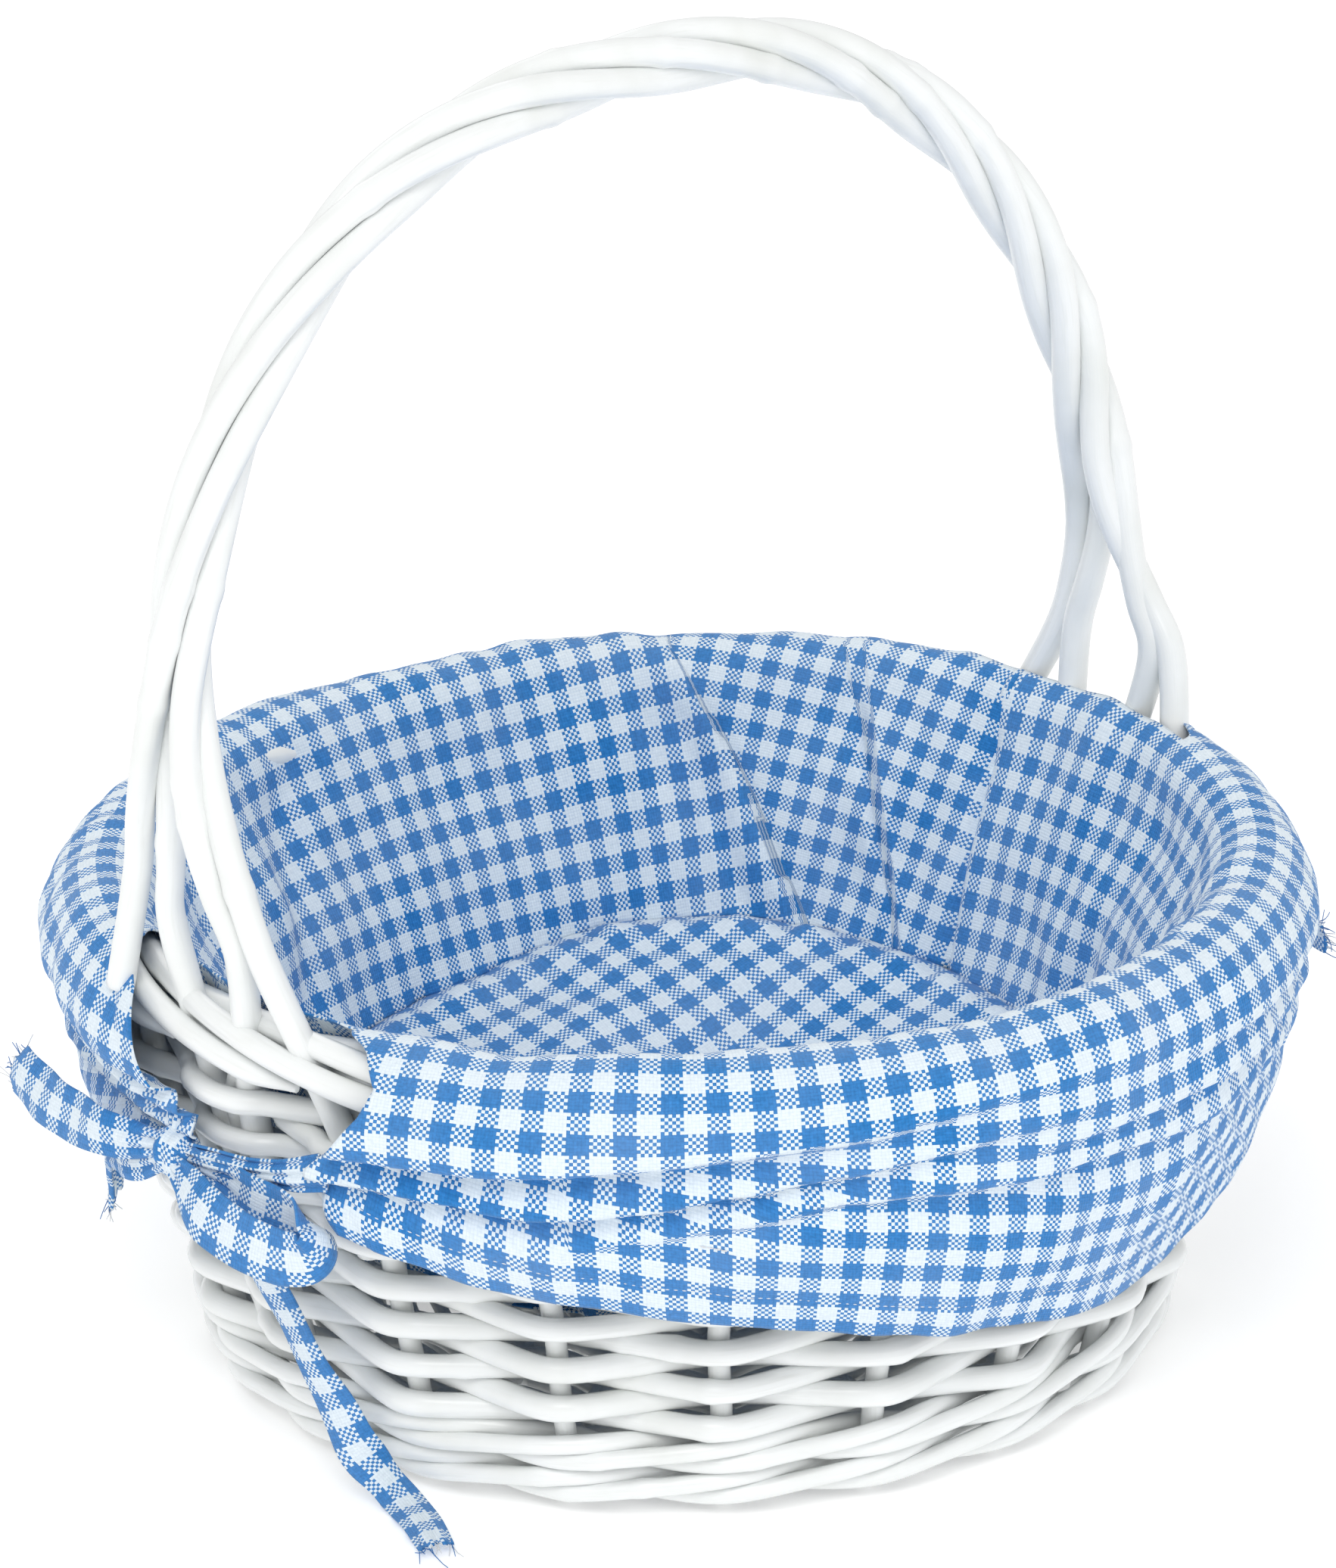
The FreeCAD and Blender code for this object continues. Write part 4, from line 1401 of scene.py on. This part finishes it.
def sheet_area(piece: bpy.types.Object) -> float:
    """Area of a sheet's own faces, before it is thickened."""
    areas = np.zeros(len(piece.data.polygons))
    piece.data.polygons.foreach_get("area", areas)
    return float(areas.sum())


@dataclass
class Ribbon:
    """A strip of the same cloth, cupped and crinkled along its length, with frayed free ends.

    Across share q from -1 to 1 the strip stands off its line by half the width times q along its
    side direction, and by a cup of 1 - q^2 and crinkle waves along its normal. Where it is
    squeezed narrow it gathers in waves of cos(gathers q).
    """

    width: float = 13.0 * MM
    cup: float = 1.3 * MM
    crinkle: float = 0.6 * MM
    thickness: float = 0.7 * MM
    across: int = 21
    ground: float = 0.8 * MM
    gathers: float = 9.0
    gather_height: float = 1.6 * MM
    ragged: float = 0.9 * MM
    rows_a_span: int = 26

    def build(
        self, name: str, places: Sequence[Sequence[float]], facings: Sequence[Sequence[float]],
        widths: Sequence[float], seed: int, finishes: Finishes, replaces: Sequence[str] = (),
        frayed: bool = False,
    ) -> list[bpy.types.Object]:
        """Builds one ribbon.

        Args:
            name: The piece's name.
            places: Places along its middle, in millimetres.
            facings: Which way its face looks at each place.
            widths: Share of its full width at each place.
            seed: Seed of its crinkles.
            finishes: The finishes.
            replaces: CAD nodes it stands for.
            frayed: Whether the last end is free and frayed.

        Returns:
            The ribbon, dressed, and its fringe.
        """
        rows = self.rows_a_span * (len(places) - 1)
        line = curve_through(np.asarray(places) * MM, rows)
        share = np.linspace(0, 1, rows)
        keys = np.linspace(0, 1, len(places))
        facing = unit(np.stack([np.interp(share, keys, part) for part in np.array(facings, float).T], axis=1))
        wide = np.interp(share, keys, widths) * self.width / 2
        _, side, normal = frames_along(line, facing)
        across = np.linspace(-1, 1, self.across)
        length = line_length(line)
        along = share * length
        squeeze = np.clip(1.0 - np.interp(share, keys, widths), 0.0, 1.0)
        lift = self.cup * (1 - across[None, :] ** 2) * (1 - 0.5 * squeeze)[:, None]
        lift = lift + np.cos(across[None, :] * self.gathers + seed) * squeeze[:, None] * self.gather_height
        lift = lift + self.crinkle * waves(along[:, None] + 0 * across, across[None, :] * 0.006, seed, 0.022)
        points = line[:, None, :] + side[:, None, :] * (across[None, :] * wide[:, None])[:, :, None]
        points = points + normal[:, None, :] * lift[:, :, None]
        if frayed:
            ragged = self.ragged * waves(across * 0.01, across * 0, seed + 2, 0.004, 5)
            points[-1] += unit(line[-1] - line[-2]) * ragged[:, None]
        points[:, :, 2] = np.maximum(points[:, :, 2], self.ground)
        uv = np.stack([
            np.broadcast_to(across[None, :] * self.width / 2, lift.shape) + 0.5 + 0.0025,
            np.broadcast_to(along[:, None], lift.shape) + 0.5 + seed * 0.0013], axis=-1)
        piece = mesh_piece(name, points.reshape(-1, 3), grid_faces(rows, self.across), uv.reshape(-1, 2))
        thicken(piece, self.thickness)
        dress(piece, finishes.ribbon, replaces)
        whole = self.width * length
        area = max(0.31 * whole, min(sheet_area(piece), whole))
        pieces = [piece]
        if frayed:
            pieces += Fringe(self.ground).build(name, points[-1], points[-1] - points[-3], seed, finishes)
        return pieces


@dataclass
class Fringe:
    """Loose threads at a cut end: thin curling tubes that start along the edge."""

    ground: float
    thread: float = 0.16 * MM
    length: float = 4.2 * MM
    count: int = 22
    stray: float = 0.22
    curl: float = 0.30

    def build(
        self, name: str, edge: Array, way: Array, seed: int, finishes: Finishes
    ) -> list[bpy.types.Object]:
        """Builds the blue and the white threads of one end.

        Args:
            name: The ribbon's name, which the threads' names start with.
            edge: Points along the cut end.
            way: The ribbon's own direction at each of them.
            seed: Seed of the threads' lengths and curls.
            finishes: The finishes.

        Returns:
            Two pieces, one per dye.
        """
        rng = np.random.default_rng(4000 + seed)
        pieces = []
        for dye, finish in (("blue", finishes.blue_thread), ("white", finishes.seam_thread)):
            skins = []
            for _ in range(self.count // 2):
                place = rng.uniform(0, len(edge) - 1)
                k = int(place)
                start = edge[k] + (place - k) * (edge[min(k + 1, len(edge) - 1)] - edge[k])
                lean = unit(way[k]) + rng.normal(0, self.stray, 3)
                curl = rng.normal(0, self.curl, 3)
                t = np.linspace(-0.25, 1.0, 7)[:, None]
                bent = lean * t + curl * np.maximum(t, 0) ** 2
                line = start + bent * self.length * rng.uniform(0.5, 1.25)
                line[:, 2] = np.maximum(line[:, 2], self.ground)
                thread = Willow(self.thread, self.thread * 0.7, seed, sides=6, knots=0)
                skins.append(thread.skin("thread", line))
            piece = joined(skins, f"{name}_fray_{dye}")
            pieces.append(dress(piece, finish))
        return pieces


OUT = (-1.0, 0.0, 0.1)


@dataclass(frozen=True)
class Strip:
    """One ribbon of the left bow: its route in millimetres, and its facing and width at each place."""

    part: str
    route: tuple[tuple[float, float, float], ...]
    facings: tuple[tuple[float, float, float], ...]
    widths: tuple[float, ...]
    width: float = 13.0 * MM
    stands_for: bool = False
    frayed: bool = False


@dataclass
class Bow:
    """The bow that ties the two flaps together at one foot of the handle."""

    side: Side
    knot_centre: tuple[float, float, float] = (-158.2, 7.0, 88.8)
    knot_radii: tuple[float, float, float] = (4.8, 7.0, 6.4)
    knot_grid: tuple[int, int] = (60, 72)
    strips: tuple[Strip, ...] = (
        Strip(
            "front",
            ((-152.5, -46, 99), (-154.5, -36, 96), (-156.5, -22, 93), (-158, -8, 91.5), (-158, 3, 90)),
            ((-0.9, -0.4, 0.1), (-0.92, -0.35, 0.1), (-1, -0.2, 0.1), OUT, OUT),
            (0.75, 0.6, 0.5, 0.5, 0.45), stands_for=True),
        Strip(
            "front_end",
            ((-158.5, 4, 87), (-155.5, -2, 81), (-151, -14, 67), (-145.5, -21, 48), (-138, -28.5, 24),
             (-133, -35, 8.5), (-131, -43, 2.6), (-134, -55, 1.6), (-140, -70, 1.6)),
            (OUT, OUT, OUT, OUT, (-0.9, -0.1, 0.3), (-0.7, 0.0, 0.8), (-0.2, 0, 1), (0, 0, 1), (0, 0, 1)),
            (0.45, 0.8, 1, 1, 1, 1, 0.95, 0.9, 0.8), width=11.5 * MM, frayed=True),
        Strip(
            "back",
            ((-156.5, 5.5, 101), (-157.2, 6, 98), (-157.5, 7, 94), (-157.5, 8, 90.5)),
            (OUT, OUT, OUT, OUT),
            (0.7, 0.6, 0.55, 0.45), stands_for=True),
        Strip(
            "back_end",
            ((-158.5, 11, 89.5), (-161, 27, 87.5), (-161.5, 45, 86.5), (-159, 63, 86.5), (-154, 81, 87)),
            (OUT, OUT, (-1, 0, 0.3), (-1, 0.1, 0.35), (-1, 0.2, 0.3)),
            (0.45, 0.9, 1.05, 1.05, 1.0), frayed=True),
        Strip(
            "short_end",
            ((-158, 13, 86), (-156.5, 28, 80), (-151, 44, 76), (-145, 54, 71), (-139.5, 62, 63),
             (-136.5, 66, 56), (-135, 69, 48.5)),
            (OUT, (-1, 0.2, 0.1), (-0.9, 0.5, 0.1), (-0.8, 0.6, 0.2), (-0.7, 0.7, 0.1), (-0.7, 0.7, 0),
             (-0.7, 0.7, 0)),
            (0.5, 0.85, 0.95, 0.8, 0.7, 0.65, 0.7), frayed=True),
        Strip(
            "loop",
            ((-160.5, 5, 87), (-164.5, -7, 84.5), (-166.5, -19, 81.5), (-165.5, -32, 79),
             (-161.5, -42, 77.5), (-157.5, -47.5, 79), (-155, -46.5, 83), (-157.5, -37, 85.5),
             (-159.5, -24, 87.5), (-160, -9, 89), (-158.5, 3, 89.5)),
            (OUT, (-1, -0.1, 0.2), (-1, -0.25, 0.25), (-0.9, -0.45, 0.1), (-0.6, -0.8, -0.1), (0, -1, 0),
             (0.5, -0.8, 0), (0.9, -0.4, -0.1), (1, -0.1, -0.1), (1, 0, -0.1), (1, 0, 0)),
            (0.5, 0.9, 1.15, 1.2, 1.2, 1.15, 1.15, 1.05, 0.9, 0.65, 0.5), stands_for=True),
    )

    def at(self, places: Sequence[Sequence[float]]) -> list[tuple[float, float, float]]:
        """Places or directions given for the left bow, turned half round for the right one."""
        sign = 1.0 if self.side is Side.LEFT else -1.0
        return [(x * sign, y * sign, z) for x, y, z in places]

    def build(self, finishes: Finishes) -> list[bpy.types.Object]:
        """Builds the ties, the loop, the ends and the knot.

        Args:
            finishes: The finishes.

        Returns:
            The bow's pieces.
        """
        side = self.side.name.lower()
        seed = 3 if self.side is Side.LEFT else 8
        pieces = []
        for number, strip in enumerate(self.strips):
            pieces += Ribbon(width=strip.width).build(
                f"tie_{side}_{strip.part}", self.at(strip.route), self.at(strip.facings), strip.widths,
                seed + number, finishes, [f"{side}_tie_{strip.part}"] if strip.stands_for else [],
                strip.frayed)
        pieces.append(self.knot(f"tie_{side}_knot", [f"{side}_tie_knot"], finishes))
        return pieces

    def knot(self, name: str, replaces: Sequence[str], finishes: Finishes) -> bpy.types.Object:
        """The knot: a squashed ball, its radius 1 plus 0.13 |sin| ridges and 0.07 sin creases."""
        rings, spokes = self.knot_grid
        polar_angle = np.linspace(0.02, math.pi - 0.02, rings)[:, None]
        around = np.linspace(0, 2 * math.pi, spokes, endpoint=False)[None, :]
        wraps = 0.13 * np.abs(np.sin(around * 2 + polar_angle * 1.7))
        wraps = wraps + 0.07 * np.sin(polar_angle * 9 + around)
        r = 1.0 + wraps * np.sin(polar_angle)
        local = np.stack([
            r * np.sin(polar_angle) * np.cos(around),
            r * np.cos(polar_angle),
            r * np.sin(polar_angle) * np.sin(around)], axis=-1) * np.array(self.knot_radii) * MM
        centre = np.array(self.at([self.knot_centre])[0]) * MM
        uv = np.stack(np.broadcast_arrays(around * 6 * MM, polar_angle * 7 * MM), axis=-1).reshape(-1, 2)
        piece = mesh_piece(name, (local + centre).reshape(-1, 3), grid_faces(rings, spokes, True), uv)
        close_ring(piece, 0, spokes)
        close_ring(piece, (rings - 1) * spokes, spokes, flip=True)
        return dress(outward(piece), finishes.ribbon, replaces)


# ---------------------------------------------------------------- room


@dataclass(frozen=True)
class SoftBox:
    """A square soft light that looks at the basket's middle."""

    name: str
    place: tuple[float, float, float]
    size: float
    power: float
    tint: tuple[float, float, float]
    aim_height: float = 0.12

    def build(self) -> None:
        """Adds the light."""
        data = bpy.data.lights.new(self.name, "AREA")
        data.size, data.energy, data.color = self.size, self.power, self.tint
        lamp = bpy.data.objects.new(self.name, data)
        bpy.context.scene.collection.objects.link(lamp)
        lamp.location = self.place
        way = Vector((0, 0, self.aim_height)) - Vector(self.place)
        lamp.rotation_euler = way.to_track_quat("-Z", "Y").to_euler()


@dataclass(frozen=True)
class Studio:
    """A pale floor, soft light all round and the camera."""

    distance: float = 1.80085
    elevation_deg: float = 21.1
    azimuth_deg: float = -39.48
    roll_deg: float = -1.3
    aim_across: float = -2.06 * MM
    aim_height: float = 147.64 * MM
    lens: float = 159.5
    sensor: float = 36.0
    world: float = 0.78
    floor_glow: float = 0.28
    floor_white: Colour = (0.93, 0.93, 0.93, 1.0)
    lights: tuple[SoftBox, ...] = (
        SoftBox("key", (-1.1, -0.9, 1.7), 1.0, 13.0, (1.0, 0.99, 0.97)),
        SoftBox("fill", (-0.3, -1.9, 0.5), 1.6, 4.0, (0.97, 0.98, 1.0)),
        SoftBox("rim", (0.6, 1.6, 1.4), 1.2, 3.0, (1.0, 1.0, 1.0)),
    )

    def camera(self) -> None:
        """Places the camera on a circle round the basket, turned to face its axis."""
        a, e = math.radians(self.azimuth_deg), math.radians(self.elevation_deg)
        back = Vector((math.sin(a) * math.cos(e), -math.cos(a) * math.cos(e), math.sin(e)))
        right = Vector((math.cos(a), math.sin(a), 0.0))
        up = back.cross(right)
        roll = math.radians(self.roll_deg)
        rolled_right = right * math.cos(roll) + up * math.sin(roll)
        rolled_up = up * math.cos(roll) - right * math.sin(roll)
        data = bpy.data.cameras.new("camera")
        data.lens, data.sensor_width = self.lens, self.sensor
        data.clip_start, data.clip_end = 0.05, 20.0
        camera = bpy.data.objects.new("camera", data)
        bpy.context.scene.collection.objects.link(camera)
        place = right * self.aim_across + Vector((0, 0, self.aim_height)) + back * self.distance
        turn = Matrix((rolled_right, rolled_up, back)).transposed().to_4x4()
        camera.matrix_world = Matrix.Translation(place) @ turn
        bpy.context.scene.camera = camera

    def floor(self) -> None:
        """A pale round floor that glows faintly."""
        a = np.linspace(0, 2 * math.pi, 96, endpoint=False)[None, :]
        r = np.array([0.001, 0.3, 0.8, 2.0, 6.0])[:, None]
        points = np.stack([r * np.cos(a), r * np.sin(a), 0 * r * a], axis=-1).reshape(-1, 3)
        piece = mesh_piece("studio_floor", points, grid_faces(5, 96, True)[:, ::-1])
        close_ring(piece, 0, 96)
        n = Nodes("studio_floor")
        shader = n.add("ShaderNodeBsdfPrincipled")
        shader.inputs["Base Color"].default_value = self.floor_white
        shader.inputs["Emission Color"].default_value = (1.0, 1.0, 1.0, 1.0)
        shader.inputs["Emission Strength"].default_value = self.floor_glow
        shader.inputs["Roughness"].default_value = 0.9
        shader.inputs["Specular IOR Level"].default_value = 0.1
        piece.data.materials.append(n.surface(shader))

    def build(self) -> None:
        """Sets the room up."""
        self.camera()
        self.floor()
        for lamp in self.lights:
            lamp.build()
        world = bpy.data.worlds.new("studio")
        world.use_nodes = True
        world.node_tree.nodes["Background"].inputs[0].default_value = (1.0, 1.0, 1.0, 1.0)
        world.node_tree.nodes["Background"].inputs[1].default_value = self.world
        bpy.context.scene.world = world
        bpy.context.scene.view_settings.view_transform = "Standard"


def main() -> None:
    """Builds the basket round its frame."""
    logging.basicConfig(level=logging.INFO, format="%(message)s")
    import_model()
    finishes = Finishes()
    wall = Wall()
    Studio().build()
    willow = (Stakes(wall), Waling(wall), Randing(wall), Base(), HoopHandle(wall))
    for work in willow + (Liner(), Bow(Side.LEFT), Bow(Side.RIGHT)):
        for piece in work.build(finishes):
            LOG.info("%s: %s, %d faces", type(work).__name__, piece.name, len(piece.data.polygons))


if __name__ == "__main__":
    main()
